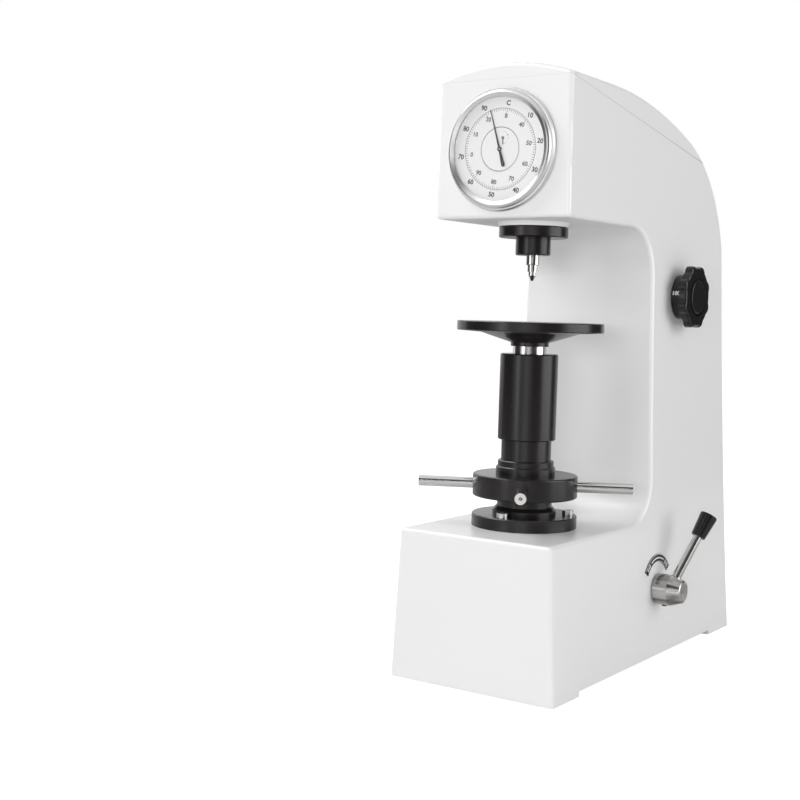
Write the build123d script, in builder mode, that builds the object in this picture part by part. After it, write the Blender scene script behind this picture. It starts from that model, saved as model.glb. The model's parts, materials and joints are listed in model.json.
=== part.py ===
from build123d import *
from math import acos, cos, degrees, hypot, pi, radians, sin, sqrt, tan
import os

# Bench hardness tester with a hand-driven elevating screw and dead-weight loading.
# Millimetres. +X is the operator's right, +Y runs to the back, +Z is up.
# The origin is on the floor and the mid-plane, under the middle of the front foot.

# Fits and small edges
running_fit = 0.05
slack = 0.3
overlap = 0.1
edge_break = 1.0
fine_break = 0.6
corner_round = 2.0

# Frame casting
front_foot = 57.0
rear_foot = 65.0
foot_height = 5.5
total_height = 630.0
base_depth = 464.0
half_floor = 96.0
half_top = 75.4
side_radius = 12600.0
deck_height = 157.0
axis_setback = 104.0
column_depth = 229.0
throat_radius = 50.0
head_setback = 34.0
head_height = 154.0
crown_rise = 13.0
crown_half = 75.5
crown_margin = 0.3
shoulder_radius = 653.0
shoulder_turn = 19.2
back_radius = 173.0
back_lean = 3.2
edge_round = 4.0
wall = 9.0
floor_web = 129.0
boss_radius = 17.0
boss_reach = 14.0

# Covers
seam_drop = 15.5
seam_slope = 8.86
cover_wall = 4.0
register_height = 4.0
register_gap = 0.4
window_base = 46.0
window_drop = 160.0
window_width = 104.0
rear_plate = 2.5
rear_margin = 12.0
rear_screw = 2.0
screw_head_angle = 25.0

# Screw guide, bearing and handwheel
flange_radius = 55.5
flange_thick = 13.0
collar_radius = 33.6
collar_height = 8.0
neck_radius = 29.0
neck_height = 10.0
sleeve_radius = 30.0
sleeve_length = 52.0
bolt_circle = 46.0
bolt_radius = 3.0
bolt_count = 3
bolt_head = 5.0
bolt_socket = 3.0
screw_radius = 18.5
key_width = 8.0
key_depth = 4.0
race_inner = 19.5
race_outer = 26.0
race_thick = 3.0
ball_radius = 2.4
ball_count = 12
wheel_radius = 55.3
wheel_thick = 23.6
wheel_gap = 0.4
hub_radius = 31.2
hub_height = 8.5
rod_radius = 5.75
rod_clear = 18.0
rod_seat = 38.0
rod_turn = 27.0
rod_count = 4
centre_angle = 40.0
wheel_round = 2.0

# Guards, elevating screw and table
foot_ring_radius = 29.5
foot_ring_height = 6.5
inner_guard_radius = 26.3
inner_guard_wall = 2.0
outer_guard_radius = 30.4
guard_step = 5.1
guard_gap = 0.5
guard_headroom = 16.5
guard_top = 4.0
screw_neck = 17.8
neck_show = 8.0
screw_foot = 25.0
stem_radius = 12.5
stem_length = 35.0
table_radius = 77.0
table_rim = 10.0
table_rise = 25.5
specimen_gap = 42.8
table_hub = 20.0
table_cone = 52.0
table_lip = 1.5
table_edge = 0.8

# Test spindle
tip_radius = 1.6
boss_drop = 4.4
boss_taper = 20.0
cap_disc = 36.1
cap_disc_thick = 11.4
cap_radius = 18.3
cap_height = 18.2
bush_radius = 13.0
bush_flange = 16.0
bush_flange_thick = 5.0
spindle_radius = 7.0
spindle_show = 10.3
holder_radius = 5.3
holder_length = 6.7
nose_radius = 4.0
nose_length = 8.1
nose_end = 2.2
spindle_travel = 0.6
spindle_collar = 11.0
collar_thick = 4.0
spindle_seat = 9.0
seat_thick = 6.0

# Main lever
short_arm = 15.0
knife_rise = 36.2
knife_size = 9.0
knife_slack = 0.6
seat_gap = 0.2
lever_width = 24.0
lever_rise = 26.8
lever_end_rise = 11.8
lever_drop_below = 12.2
lever_step_rise = 2.3
lever_web = 8.0
lever_holes = 5
hole_share = 0.7
lever_drop = 1.5
cheek_gap = 5.5
cheek_thick = 9.0
bracket_base = 6.0

# Weights and dashpot
hanger_inset = 84.0
hanger_rod = 5.0
hanger_step = 1.5
weight_radius = 48.0
weight_thick = 24.0
weight_pitch = 52.0
weight_drop = 205.0
hanger_foot = 20.0
stirrup_gap = 2.0
stirrup_plate = 5.0
dashpot_radius = 30.0
dashpot_wall = 3.0
dashpot_height = 104.0
piston_level = 84.0
piston_thick = 8.0
piston_rod = 4.0

# Load lever
lever_setback = 14.0
lever_height = 79.5
shaft_radius = 8.0
bush_wall = 4.0
load_cam_radius = 26.0
load_cam_fall = 4.4
load_cam_sweep = 100.0
load_cam_width = 12.0
load_cam_margin = 15.0
hub_barrel = 17.0
hub_barrel_length = 16.0
hub_face = 12.3
hub_nose = 14.0
hub_clear = 0.6
rod_lean_back = 27.5
rod_lean_out = 15.5
lever_rod_radius = 5.0
lever_rod_length = 96.0
grip_length = 28.0
grip_low = 8.0
grip_high = 10.0
grip_round = 1.5
arc_outer = 38.5
arc_inner = 30.0
arc_half_angle = 55.0
arc_thick = 1.0

# Lift rod
lift_radius = 4.0
lift_roller = 9.0
fork_gap = 0.3
fork_thick = 4.0
guide_drop = 105.0
guide_height = 20.0
guide_width = 30.0

# Force selector
selector_drop = 225.0
selector_radius = 6.0
knob_barrel = 25.0
knob_barrel_length = 13.0
knob_rim = 33.5
knob_rim_thick = 9.0
lobe_count = 8
lobe_radius = 8.5
lobe_circle = 28.0
knob_crown = 3.0
knob_groove = 2.6
cap_disc_radius = 19.0
cap_disc_proud = 1.0
cap_disc_round = 1.5
select_cam_mean = 19.0
select_lift = 5.0
select_sweep = 120.0
select_cam_width = 10.0
select_cam_margin = 12.0
catch_roller = 6.0
catch_plate = 5.0
catch_width = 26.0
catch_gap = 14.0
catch_pin = 2.5
catch_side = 3.0
catch_spare = 1.2

# Gauge
dial_drop = 86.0
bezel_radius = 61.5
bezel_inner = 52.0
bezel_depth = 10.6
bezel_bead = 0.4
flange_seat = 58.0
flange_depth = 3.0
cup_radius = 50.0
cup_depth = 24.0
cup_wall = 2.0
dial_radius = 53.5
dial_thick = 0.8
dial_gap = 0.3
dial_lip = 0.5
centre_radius = 22.0
crystal_level = 6.2
crystal_thick = 2.0
plate_level = -14.0
post_count = 3
pointer_length = 40.6
pointer_tail = 18.4
pointer_level = 5.0
pointer_thick = 0.5
pointer_turn = 16.5
pointer_tip = 0.25
pointer_waist = 1.0
pointer_disc = 1.9
pointer_boss = 2.4
arbor_radius = 0.8
arbor_tail = 1.0
pinion_radius = 1.05
counter_offset = (3.1, 11.1)
counter_length = 6.0
counter_level = 4.2
counter_thick = 0.4
counter_width = 0.7
counter_boss = 1.4

os.makedirs("parts", exist_ok=True)

# Places worked out from the sizes above
front = -front_foot / 2
axis_y = front + axis_setback
column_y = front + base_depth - column_depth
head_y = front + head_setback
head_underside = total_height - head_height
seam_height = total_height - seam_drop
window_top = total_height - window_drop
dial_height = total_height - dial_drop
selector_height = total_height - selector_drop
guide_level = selector_height - guide_drop
weight_base = selector_height - weight_drop
rod_reach = column_y - axis_y - rod_clear
crown_radius = (crown_half**2 + crown_rise**2) / (2 * crown_rise)
lean = radians(back_lean)
turn = radians(shoulder_turn)


def side_x(z):
    """Half-width of the flared side wall at height z."""
    chord = hypot(half_floor - half_top, total_height)
    reach = sqrt(side_radius**2 - (chord / 2) ** 2)
    centre_x = (half_floor + half_top) / 2 + reach * total_height / chord
    centre_z = total_height / 2 + reach * (half_floor - half_top) / chord
    return centre_x - sqrt(side_radius**2 - (z - centre_z) ** 2)


def crown_drop(x):
    """How far the crowned top falls from the mid-plane at x."""
    return crown_radius - sqrt(crown_radius**2 - x**2)


# The top line is two tangent arcs, and the flat back is tangent to the side edge's arc.
spread = shoulder_radius - back_radius
back_z = total_height - shoulder_radius + spread * cos(turn)
flat_depth = crown_drop(side_x(back_z)) + crown_margin
back_normal = back_radius - flat_depth
back_y = front + base_depth - (back_normal + back_z * sin(lean)) / cos(lean)
shoulder_y = back_y - spread * sin(turn)
shoulder_z = total_height - shoulder_radius
back_turn = 90 - back_lean - shoulder_turn
arch_turn = back_turn - degrees(acos(back_normal / back_radius))


def is_sharp(edge):
    """True for the form's corners, not for the floor line or the tangent joints between curves."""
    spot = edge.center()
    front_line = min(abs(spot.Y - front), abs(spot.Y - head_y)) < 1
    return spot.Z > 1 and (abs(spot.X) > 1 or front_line or spot.Y > back_y + back_radius / 2)


def body_form(inset):
    """The casting's outer form, or the same form inset by a wall."""
    with BuildPart() as form:
        with BuildSketch(Plane.YZ):
            with BuildLine():
                base = Polyline((front, 0), (front, deck_height), (column_y - throat_radius, deck_height))
                lower = JernArc(base @ 1, (1, 0), throat_radius, 90)
                column = Line(lower @ 1, (column_y, head_underside - throat_radius))
                upper = JernArc(column @ 1, (0, 1), throat_radius, 90)
                crown_start = (shoulder_y, total_height)
                nose = Polyline(upper @ 1, (head_y, head_underside), (head_y, total_height), crown_start)
                shoulder = JernArc(nose @ 1, (1, 0), shoulder_radius, -shoulder_turn)
                back = JernArc(shoulder @ 1, shoulder % 1, back_radius, -arch_turn)
                Polyline(back @ 1, (front + base_depth, 0), (front, 0))
            make_face()
            if inset:
                offset(amount=-inset, kind=Kind.INTERSECTION)
        extrude(amount=1.5 * half_floor, both=True)
        with BuildSketch(Plane.XZ):
            with BuildLine():
                side = ThreePointArc(
                    (half_floor - inset, 0),
                    (side_x(total_height / 2) - inset, total_height / 2),
                    (half_top - inset, total_height),
                )
                Polyline(side @ 1, (0, total_height), (0, 0), side @ 0)
            make_face()
            mirror(about=Plane.YZ)
        extrude(amount=2 * base_depth, both=True, mode=Mode.INTERSECT)
        level = Plane((0, shoulder_y, total_height - inset), x_dir=(1, 0, 0), z_dir=(0, -1, 0))
        arm = back_radius - inset
        tilted = Plane(
            (0, back_y + arm * sin(turn), back_z + arm * cos(turn)),
            x_dir=(1, 0, 0),
            z_dir=(0, -cos(turn), sin(turn)),
        )
        stretches = (
            (level, None, 0),
            (level, (0, shoulder_y, shoulder_z), shoulder_turn),
            (tilted, (0, back_y, back_z), back_turn),
        )
        for plane, centre, angle in stretches:
            with BuildSketch(plane):
                with Locations((0, crown_rise / 2)):
                    Rectangle(2.6 * half_top, 4 * crown_rise)
                with Locations((0, inset - crown_radius)):
                    Circle(crown_radius - inset, mode=Mode.SUBTRACT)
            if centre is None:
                extrude(amount=shoulder_y - front, mode=Mode.SUBTRACT)
            else:
                revolve(axis=Axis(centre, (-1, 0, 0)), revolution_arc=angle, mode=Mode.SUBTRACT)
        if not inset:
            fillet(form.edges().filter_by(is_sharp).sort_by(Axis.Z), radius=edge_round)
    return form.part


def side_plane(x, y, z):
    """A plane facing +X, with its own X to the back and its own Y up."""
    return Plane((x, y, z), x_dir=(0, 1, 0), z_dir=(1, 0, 0))


def level_plane(y, z):
    """A level plane on the mid-plane at depth y."""
    return Plane((0, y, z))


def face_plane(z, depth=0.0):
    """A plane facing the operator, a given depth in front of the head's face."""
    return Plane((0, head_y - depth, z), x_dir=(1, 0, 0), z_dir=(0, -1, 0))


seam = Plane(
    (0, head_y, seam_height),
    x_dir=(1, 0, 0),
    z_dir=(0, sin(radians(seam_slope)), cos(radians(seam_slope))),
)
back_plane = Plane((0, front + base_depth, 0), x_dir=(-1, 0, 0), z_dir=(0, cos(lean), sin(lean)))
turning = Plane((0, axis_y, 0), x_dir=(1, 0, 0), z_dir=(0, -1, 0))
test_axis = Axis((0, axis_y, 0), (0, 0, 1))
lever_y = column_y + lever_setback
hanger_y = front + base_depth - hanger_inset
inner_column_y = column_y + wall
selector_y = (inner_column_y + hanger_y) / 2 - selector_radius
fulcrum_y = axis_y - short_arm

flange_top = deck_height + flange_thick
collar_top = flange_top + collar_height
neck_top = collar_top + neck_height
sleeve_bottom = flange_top - flange_thick - sleeve_length
wheel_bottom = neck_top + wheel_gap
wheel_top = wheel_bottom + wheel_thick
hub_top = wheel_top + hub_height
inner_guard_base = hub_top + foot_ring_height
cap_top = head_underside - boss_drop
cap_disc_bottom = cap_top - cap_disc_thick
cap_bottom = cap_disc_bottom - cap_height
bush_bottom = cap_bottom + cap_height / 9
holder_top = cap_bottom - spindle_show
nose_top = holder_top - holder_length
tip_z = nose_top - nose_length - tip_radius
table_face = tip_z - specimen_gap
screw_top = table_face - table_rise
outer_guard_top = screw_top - neck_show
inner_guard_height = outer_guard_top - guard_headroom - inner_guard_base
outer_guard_length = inner_guard_height - guard_step
head_floor = head_underside + wall
knife_line = head_floor + knife_rise
lever_top = knife_line + lever_rise
lever_end_top = knife_line + lever_end_rise
lever_bottom = knife_line - lever_drop_below
lever_step = knife_line + lever_step_rise
bush_top = head_floor + bush_flange_thick
bolt_angles = [radians(360 * n / bolt_count - 90) for n in range(bolt_count)]
bolt_places = [(bolt_circle * cos(angle), bolt_circle * sin(angle)) for angle in bolt_angles]


def window_outline(margin=0.0):
    """The arch-topped outline of the back window, drawn on the back plane."""
    half = window_width / 2
    with BuildSketch(back_plane) as outline:
        with BuildLine():
            low = Line((-half, window_base), (half, window_base))
            right = Line(low @ 1, (half, window_top - half))
            arch = RadiusArc(right @ 1, (-half, window_top - half), -half)
            Line(arch @ 1, low @ 0)
        make_face()
        if margin:
            offset(amount=margin)
    return outline.sketch


# The casting is hollow from the head to the base, open under the cover, at the back and below.
outer_form = body_form(0)
core_form = body_form(wall)
lever_boss_x = side_x(lever_height) - wall - boss_reach
selector_boss_x = side_x(selector_height) - wall - boss_reach
lever_bush = shaft_radius + bush_wall
selector_bush = selector_radius + bush_wall

with BuildPart() as frame_casting:
    add(outer_form)
    add(core_form, mode=Mode.SUBTRACT)
    split(bisect_by=seam, keep=Keep.BOTTOM)
    # Floor opening for the screw, and the recess between the two feet
    floor_opening = base_depth - front_foot - floor_web
    with BuildSketch(level_plane(front + front_foot + floor_opening / 2, 0)):
        Rectangle(2 * (half_floor - 2 * wall), floor_opening)
        fillet(vertices(), radius=wall)
    extrude(amount=2 * wall, mode=Mode.SUBTRACT)
    recess = base_depth - front_foot - rear_foot
    with BuildSketch(level_plane(front + front_foot + recess / 2, 0)):
        Rectangle(3 * half_floor, recess)
    extrude(amount=foot_height, mode=Mode.SUBTRACT)
    # Bosses that carry the load shaft and the selector shaft in both side walls
    lever_boss = (lever_y, lever_height, lever_boss_x)
    selector_boss = (selector_y, selector_height, selector_boss_x)
    for y, z, inner_x in (lever_boss, selector_boss):
        for hand in (1, -1):
            with BuildSketch(side_plane(hand * inner_x, y, z)):
                Circle(boss_radius)
            extrude(amount=hand * (boss_reach + wall / 2))
    # Tapered boss under the head
    with BuildSketch(level_plane(axis_y, cap_top)):
        Circle(cap_disc)
    extrude(amount=boss_drop + overlap, taper=-boss_taper)
    # Openings: dial cup, guide sleeve, spindle bush, back window
    with BuildSketch(face_plane(dial_height, wall)):
        Circle(cup_radius)
    extrude(amount=-3 * wall, mode=Mode.SUBTRACT)
    with BuildSketch(level_plane(axis_y, deck_height - 2 * wall)):
        Circle(sleeve_radius)
    extrude(amount=3 * wall, mode=Mode.SUBTRACT)
    with BuildSketch(level_plane(axis_y, cap_top)):
        Circle(bush_radius)
    extrude(amount=3 * wall, mode=Mode.SUBTRACT)
    with BuildSketch(level_plane(axis_y, deck_height)):
        with Locations(*bolt_places):
            Circle(bolt_radius)
    extrude(amount=-1.5 * wall, mode=Mode.SUBTRACT)
    add(window_outline())
    extrude(amount=-1.5 * wall, mode=Mode.SUBTRACT)
    # Bores for the shaft bushes, blind in the left wall
    lever_bore = (lever_y, lever_height, lever_bush)
    selector_bore = (selector_y, selector_height, selector_bush)
    for y, z, radius in (lever_bore, selector_bore):
        with BuildSketch(side_plane(wall - side_x(z), y, z)):
            Circle(radius)
        extrude(amount=2 * half_floor, mode=Mode.SUBTRACT)

# The raised register on the casting's rim, which the cover drops over
with BuildPart() as register:
    add(body_form(cover_wall + register_gap))
    add(core_form, mode=Mode.SUBTRACT)
    split(bisect_by=seam.offset(-register_height), keep=Keep.TOP)
    split(bisect_by=seam.offset(register_height), keep=Keep.BOTTOM)

with BuildPart() as rimmed:
    add(frame_casting.part)
    add(register.part)
rimmed.part.label = "frame_casting"
export_step(rimmed.part, "parts/frame_casting.step")

with BuildPart() as top_cover:
    add(outer_form)
    add(body_form(cover_wall), mode=Mode.SUBTRACT)
    split(bisect_by=seam, keep=Keep.TOP)
top_cover.part.label = "top_cover"
export_step(top_cover.part, "parts/top_cover.step")

# Back cover: an arch-topped plate over the window, held by round-headed screws
half_window = window_width / 2
screw_columns = half_window + rear_margin / 2
arch_spring = window_top - half_window
screw_rows = (window_base + rear_margin, (window_base + arch_spring) / 2, arch_spring)
rear_screws = [(hand * screw_columns, height) for hand in (1, -1) for height in screw_rows]

with BuildPart() as rear_cover:
    add(window_outline(rear_margin))
    extrude(amount=rear_plate)
    with BuildSketch(back_plane):
        with Locations(*rear_screws):
            Circle(rear_screw)
    extrude(amount=rear_plate, mode=Mode.SUBTRACT)
rear_cover.part.label = "rear_cover"
export_step(rear_cover.part, "parts/rear_cover.step")

with BuildPart() as rear_cover_screws:
    with BuildSketch(back_plane):
        with Locations(*rear_screws):
            Circle(rear_screw)
    extrude(amount=rear_plate)
    with BuildSketch(back_plane.offset(rear_plate)):
        with Locations(*rear_screws):
            Circle(2 * rear_screw)
    extrude(amount=rear_screw, taper=screw_head_angle)
rear_cover_screws.part.label = "rear_cover_screws"
export_step(rear_cover_screws.part, "parts/rear_cover_screws.step")

# Direction plate behind the load lever: a flat arc lying on the slanted side wall
wall_slope = (side_x(lever_height) - side_x(lever_height + arc_outer)) / arc_outer
arc_x = side_x(lever_height) + running_fit
arc_plane = Plane((arc_x, lever_y, lever_height), x_dir=(0, 1, 0), z_dir=(1, 0, wall_slope))
with BuildPart() as arc_plate:
    with BuildSketch(arc_plane):
        Circle(arc_outer)
        Circle(arc_inner, mode=Mode.SUBTRACT)
        with BuildLine():
            low = 2 * arc_outer
            Polyline(
                (0, 0),
                (low * sin(radians(arc_half_angle)), low * cos(radians(arc_half_angle))),
                (0, 2 * low),
                (-low * sin(radians(arc_half_angle)), low * cos(radians(arc_half_angle))),
                close=True,
            )
        make_face(mode=Mode.INTERSECT)
    extrude(amount=arc_thick)
arc_plate.part.label = "arc_plate"
export_step(arc_plate.part, "parts/arc_plate.step")

# Screw guide: flange, collar and neck above the deck, keyed sleeve through it
collar_slope = neck_height / 3
with BuildPart() as screw_flange:
    with BuildSketch(turning):
        with BuildLine():
            Polyline(
                (0, sleeve_bottom),
                (sleeve_radius, sleeve_bottom),
                (sleeve_radius, deck_height),
                (flange_radius, deck_height),
                (flange_radius, flange_top),
                (collar_radius, flange_top),
                (collar_radius, collar_top - collar_slope),
                (collar_radius - collar_slope, collar_top),
                (neck_radius, collar_top),
                (neck_radius, neck_top),
                (0, neck_top),
                close=True,
            )
        make_face()
    revolve(axis=test_axis)
    outer_rims = edges().filter_by(GeomType.CIRCLE).filter_by(lambda e: e.radius > bolt_circle)
    chamfer(outer_rims.sort_by(Axis.Z)[-1], length=edge_break)
    with BuildSketch(level_plane(axis_y, sleeve_bottom)):
        Circle(screw_radius + running_fit)
    extrude(amount=2 * total_height, mode=Mode.SUBTRACT)
    with BuildSketch(level_plane(axis_y, deck_height)):
        with Locations(*bolt_places):
            Circle(bolt_radius)
    extrude(amount=flange_thick, mode=Mode.SUBTRACT)
    with BuildSketch(level_plane(axis_y, sleeve_bottom)):
        with Locations((0, sleeve_radius)):
            Rectangle(key_width, 2 * sleeve_radius)
    extrude(amount=sleeve_length - wall, mode=Mode.SUBTRACT)
screw_flange.part.label = "screw_flange"
export_step(screw_flange.part, "parts/screw_flange.step")

with BuildPart() as flange_screws:
    with BuildSketch(level_plane(axis_y, deck_height - wall)):
        with Locations(*bolt_places):
            Circle(bolt_radius)
    extrude(amount=wall + flange_thick)
    with BuildSketch(level_plane(axis_y, flange_top)):
        with Locations(*bolt_places):
            Circle(2 * bolt_radius)
    extrude(amount=bolt_head)
    with BuildSketch(level_plane(axis_y, flange_top + bolt_head)):
        with Locations(*bolt_places):
            RegularPolygon(bolt_radius, 6)
    extrude(amount=-bolt_socket, mode=Mode.SUBTRACT)
flange_screws.part.label = "flange_screws"
export_step(flange_screws.part, "parts/flange_screws.step")

# The key that stops the screw from turning
key_slack = 2 * running_fit
with BuildPart() as guide_key:
    with BuildSketch(level_plane(axis_y, sleeve_bottom + key_depth)):
        with Locations((0, screw_radius - key_depth + 3 * key_slack)):
            Rectangle(
                key_width - key_slack,
                sqrt(sleeve_radius**2 - (key_width / 2) ** 2) - screw_radius + key_depth - 3 * key_slack,
                align=(Align.CENTER, Align.MIN),
            )
    extrude(amount=sleeve_length - wall - key_depth)
guide_key.part.label = "guide_key"
export_step(guide_key.part, "parts/guide_key.step")

# Thrust bearing between the guide's neck and the handwheel
ball_circle = (race_inner + race_outer) / 2
ball_level = neck_top + race_thick + ball_radius + running_fit
with BuildPart() as lower_race:
    with BuildSketch(level_plane(axis_y, neck_top)):
        Circle(race_outer)
        Circle(race_inner, mode=Mode.SUBTRACT)
    extrude(amount=race_thick)
lower_race.part.label = "lower_race"
export_step(lower_race.part, "parts/lower_race.step")

with BuildPart() as bearing_balls:
    with Locations(Plane((0, axis_y, ball_level))):
        with PolarLocations(ball_circle, ball_count):
            Sphere(ball_radius)
bearing_balls.part.label = "bearing_balls"
export_step(bearing_balls.part, "parts/bearing_balls.step")

upper_race_bottom = ball_level + ball_radius + running_fit
with BuildPart() as upper_race:
    with BuildSketch(level_plane(axis_y, upper_race_bottom)):
        Circle(race_outer)
        Circle(race_inner, mode=Mode.SUBTRACT)
    extrude(amount=race_thick)
upper_race.part.label = "upper_race"
export_step(upper_race.part, "parts/upper_race.step")

# Handwheel: rim, nut hub, bearing counterbore and four rod sockets
rod_level = (wheel_bottom + wheel_top) / 2
rod_angles = [rod_turn + 360 * n / rod_count for n in range(rod_count)]


def rod_planes(reach):
    """Planes facing outwards along each rod, a given reach from the test axis."""
    for angle in rod_angles:
        out = (cos(radians(angle)), sin(radians(angle)), 0)
        yield Plane((reach * out[0], axis_y + reach * out[1], rod_level), x_dir=(0, 0, 1), z_dir=out)


with BuildPart() as handwheel:
    with BuildSketch(level_plane(axis_y, wheel_bottom)):
        Circle(wheel_radius)
    extrude(amount=wheel_thick)
    fillet(edges().filter_by(GeomType.CIRCLE), radius=wheel_round)
    with BuildSketch(level_plane(axis_y, wheel_top)):
        Circle(hub_radius)
    extrude(amount=hub_height)
    chamfer(faces().sort_by(Axis.Z)[-1].edges(), length=edge_break)
    with BuildSketch(level_plane(axis_y, wheel_bottom)):
        Circle(race_outer + running_fit)
    extrude(amount=upper_race_bottom + race_thick - wheel_bottom, mode=Mode.SUBTRACT)
    with BuildSketch(level_plane(axis_y, wheel_bottom)):
        Circle(screw_radius + running_fit)
    extrude(amount=2 * wheel_thick, mode=Mode.SUBTRACT)
    for plane in rod_planes(rod_seat):
        with BuildSketch(plane):
            Circle(rod_radius)
        extrude(amount=wheel_radius, mode=Mode.SUBTRACT)
handwheel.part.label = "handwheel"
export_step(handwheel.part, "parts/handwheel.step")

with BuildPart() as handwheel_rods:
    for plane in rod_planes(rod_seat):
        with BuildSketch(plane):
            Circle(rod_radius)
        extrude(amount=rod_reach - rod_seat)
    for plane in rod_planes(rod_reach):
        with BuildSketch(plane):
            Circle(rod_radius / 3)
        extrude(amount=-rod_radius / 3, taper=centre_angle, mode=Mode.SUBTRACT)
handwheel_rods.part.label = "handwheel_rods"
export_step(handwheel_rods.part, "parts/handwheel_rods.step")

# Two guard tubes: one stands on the hub, the other hangs from the screw's shoulder
with BuildPart() as guard_inner:
    with BuildSketch(level_plane(axis_y, hub_top)):
        Circle(foot_ring_radius)
    extrude(amount=foot_ring_height)
    chamfer(faces().sort_by(Axis.Z)[-1].edges(), length=edge_break)
    with BuildSketch(level_plane(axis_y, inner_guard_base)):
        Circle(inner_guard_radius)
    extrude(amount=inner_guard_height - foot_ring_height)
    with BuildSketch(level_plane(axis_y, hub_top)):
        Circle(inner_guard_radius - inner_guard_wall)
    extrude(amount=2 * inner_guard_height, mode=Mode.SUBTRACT)
guard_inner.part.label = "guard_inner"
export_step(guard_inner.part, "parts/guard_inner.step")

shoulder_level = outer_guard_top - guard_top
with BuildPart() as guard_outer:
    with BuildSketch(level_plane(axis_y, outer_guard_top)):
        Circle(outer_guard_radius)
    extrude(amount=-outer_guard_length)
    chamfer(edges().filter_by(GeomType.CIRCLE), length=edge_break)
    with BuildSketch(level_plane(axis_y, shoulder_level)):
        Circle(inner_guard_radius + guard_gap)
    extrude(amount=-outer_guard_length, mode=Mode.SUBTRACT)
    with BuildSketch(level_plane(axis_y, shoulder_level)):
        Circle(screw_neck)
    extrude(amount=guard_top, mode=Mode.SUBTRACT)
guard_outer.part.label = "guard_outer"
export_step(guard_outer.part, "parts/guard_outer.step")

with BuildPart() as elevating_screw:
    with BuildSketch(level_plane(axis_y, screw_foot)):
        Circle(screw_radius)
    extrude(amount=shoulder_level - screw_foot)
    chamfer(faces().sort_by(Axis.Z)[0].edges(), length=2 * edge_break)
    with BuildSketch(level_plane(axis_y, shoulder_level)):
        Circle(screw_neck)
    extrude(amount=screw_top - shoulder_level)
    with BuildSketch(level_plane(axis_y, screw_top - stem_length)):
        Circle(stem_radius)
    extrude(amount=stem_length, mode=Mode.SUBTRACT)
    with BuildSketch(level_plane(axis_y, screw_foot)):
        with Locations((0, screw_radius - key_depth)):
            Rectangle(key_width, 2 * key_depth, align=(Align.CENTER, Align.MIN))
    extrude(amount=wheel_bottom - screw_foot - 2 * key_depth, mode=Mode.SUBTRACT)
elevating_screw.part.label = "elevating_screw"
export_step(elevating_screw.part, "parts/elevating_screw.step")

with BuildPart() as work_table:
    with BuildSketch(turning):
        with BuildLine():
            Polyline(
                (0, screw_top - stem_length),
                (stem_radius, screw_top - stem_length),
                (stem_radius, screw_top),
                (table_hub, screw_top),
                (table_hub, screw_top + (table_rise - table_rim) / 4),
                (table_cone, table_face - table_rim - table_lip),
                (table_radius - edge_break, table_face - table_rim),
                (table_radius, table_face - table_rim + edge_break),
                (table_radius, table_face - table_edge),
                (table_radius - table_edge, table_face),
                (0, table_face),
                close=True,
            )
        make_face()
    revolve(axis=test_axis)
work_table.part.label = "work_table"
export_step(work_table.part, "parts/work_table.step")

# Spindle cap under the head's boss, and the long bush that guides the spindle
with BuildPart() as spindle_cap:
    with BuildSketch(level_plane(axis_y, cap_disc_bottom)):
        Circle(cap_disc)
    extrude(amount=cap_disc_thick)
    chamfer(edges(), length=edge_break)
    with BuildSketch(level_plane(axis_y, cap_disc_bottom)):
        Circle(cap_radius)
    extrude(amount=-cap_height)
    chamfer(faces().sort_by(Axis.Z)[0].edges(), length=edge_break)
    with BuildSketch(level_plane(axis_y, bush_bottom)):
        Circle(bush_radius)
    extrude(amount=2 * cap_height, mode=Mode.SUBTRACT)
    with BuildSketch(level_plane(axis_y, cap_bottom)):
        Circle(spindle_radius + 4 * running_fit)
    extrude(amount=cap_height, mode=Mode.SUBTRACT)
spindle_cap.part.label = "spindle_cap"
export_step(spindle_cap.part, "parts/spindle_cap.step")

with BuildPart() as spindle_bush:
    with BuildSketch(level_plane(axis_y, bush_bottom)):
        Circle(bush_radius)
    extrude(amount=bush_top - bush_bottom)
    with BuildSketch(level_plane(axis_y, head_floor)):
        Circle(bush_flange)
    extrude(amount=bush_flange_thick)
    with BuildSketch(level_plane(axis_y, cap_bottom)):
        Circle(spindle_radius + running_fit)
    extrude(amount=2 * bush_top, mode=Mode.SUBTRACT)
spindle_bush.part.label = "spindle_bush"
export_step(spindle_bush.part, "parts/spindle_bush.step")

# Spindle: shaft, stop collar that rests on the bush, seat under the load knife
seat_top = knife_line - spindle_travel - short_arm * sin(radians(lever_drop)) - 2 * running_fit
with BuildPart() as spindle:
    with BuildSketch(level_plane(axis_y, holder_top)):
        Circle(spindle_radius)
    extrude(amount=seat_top - holder_top)
    chamfer(faces().sort_by(Axis.Z)[0].edges(), length=fine_break)
    with BuildSketch(level_plane(axis_y, bush_top + running_fit)):
        Circle(spindle_collar)
    extrude(amount=collar_thick)
    with BuildSketch(level_plane(axis_y, seat_top)):
        Circle(spindle_seat)
    extrude(amount=-seat_thick)
spindle.part.label = "spindle"
export_step(spindle.part, "parts/spindle.step")

with BuildPart() as indenter_holder:
    with BuildSketch(turning):
        with BuildLine():
            Polyline(
                (0, tip_z + tip_radius),
                (nose_end, tip_z + tip_radius),
                (nose_radius, tip_z + tip_radius + nose_length / 2),
                (nose_radius, nose_top),
                (holder_radius, nose_top),
                (holder_radius, holder_top),
                (0, holder_top),
                close=True,
            )
        make_face()
    revolve(axis=test_axis)
    with Locations(Plane((0, axis_y, tip_z + tip_radius))):
        Sphere(tip_radius, mode=Mode.SUBTRACT)
indenter_holder.part.label = "indenter_holder"
export_step(indenter_holder.part, "parts/indenter_holder.step")

with BuildPart() as indenter_tip:
    with Locations(Plane((0, axis_y, tip_z + tip_radius))):
        Sphere(tip_radius)
indenter_tip.part.label = "indenter_tip"
export_step(indenter_tip.part, "parts/indenter_tip.step")

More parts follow.
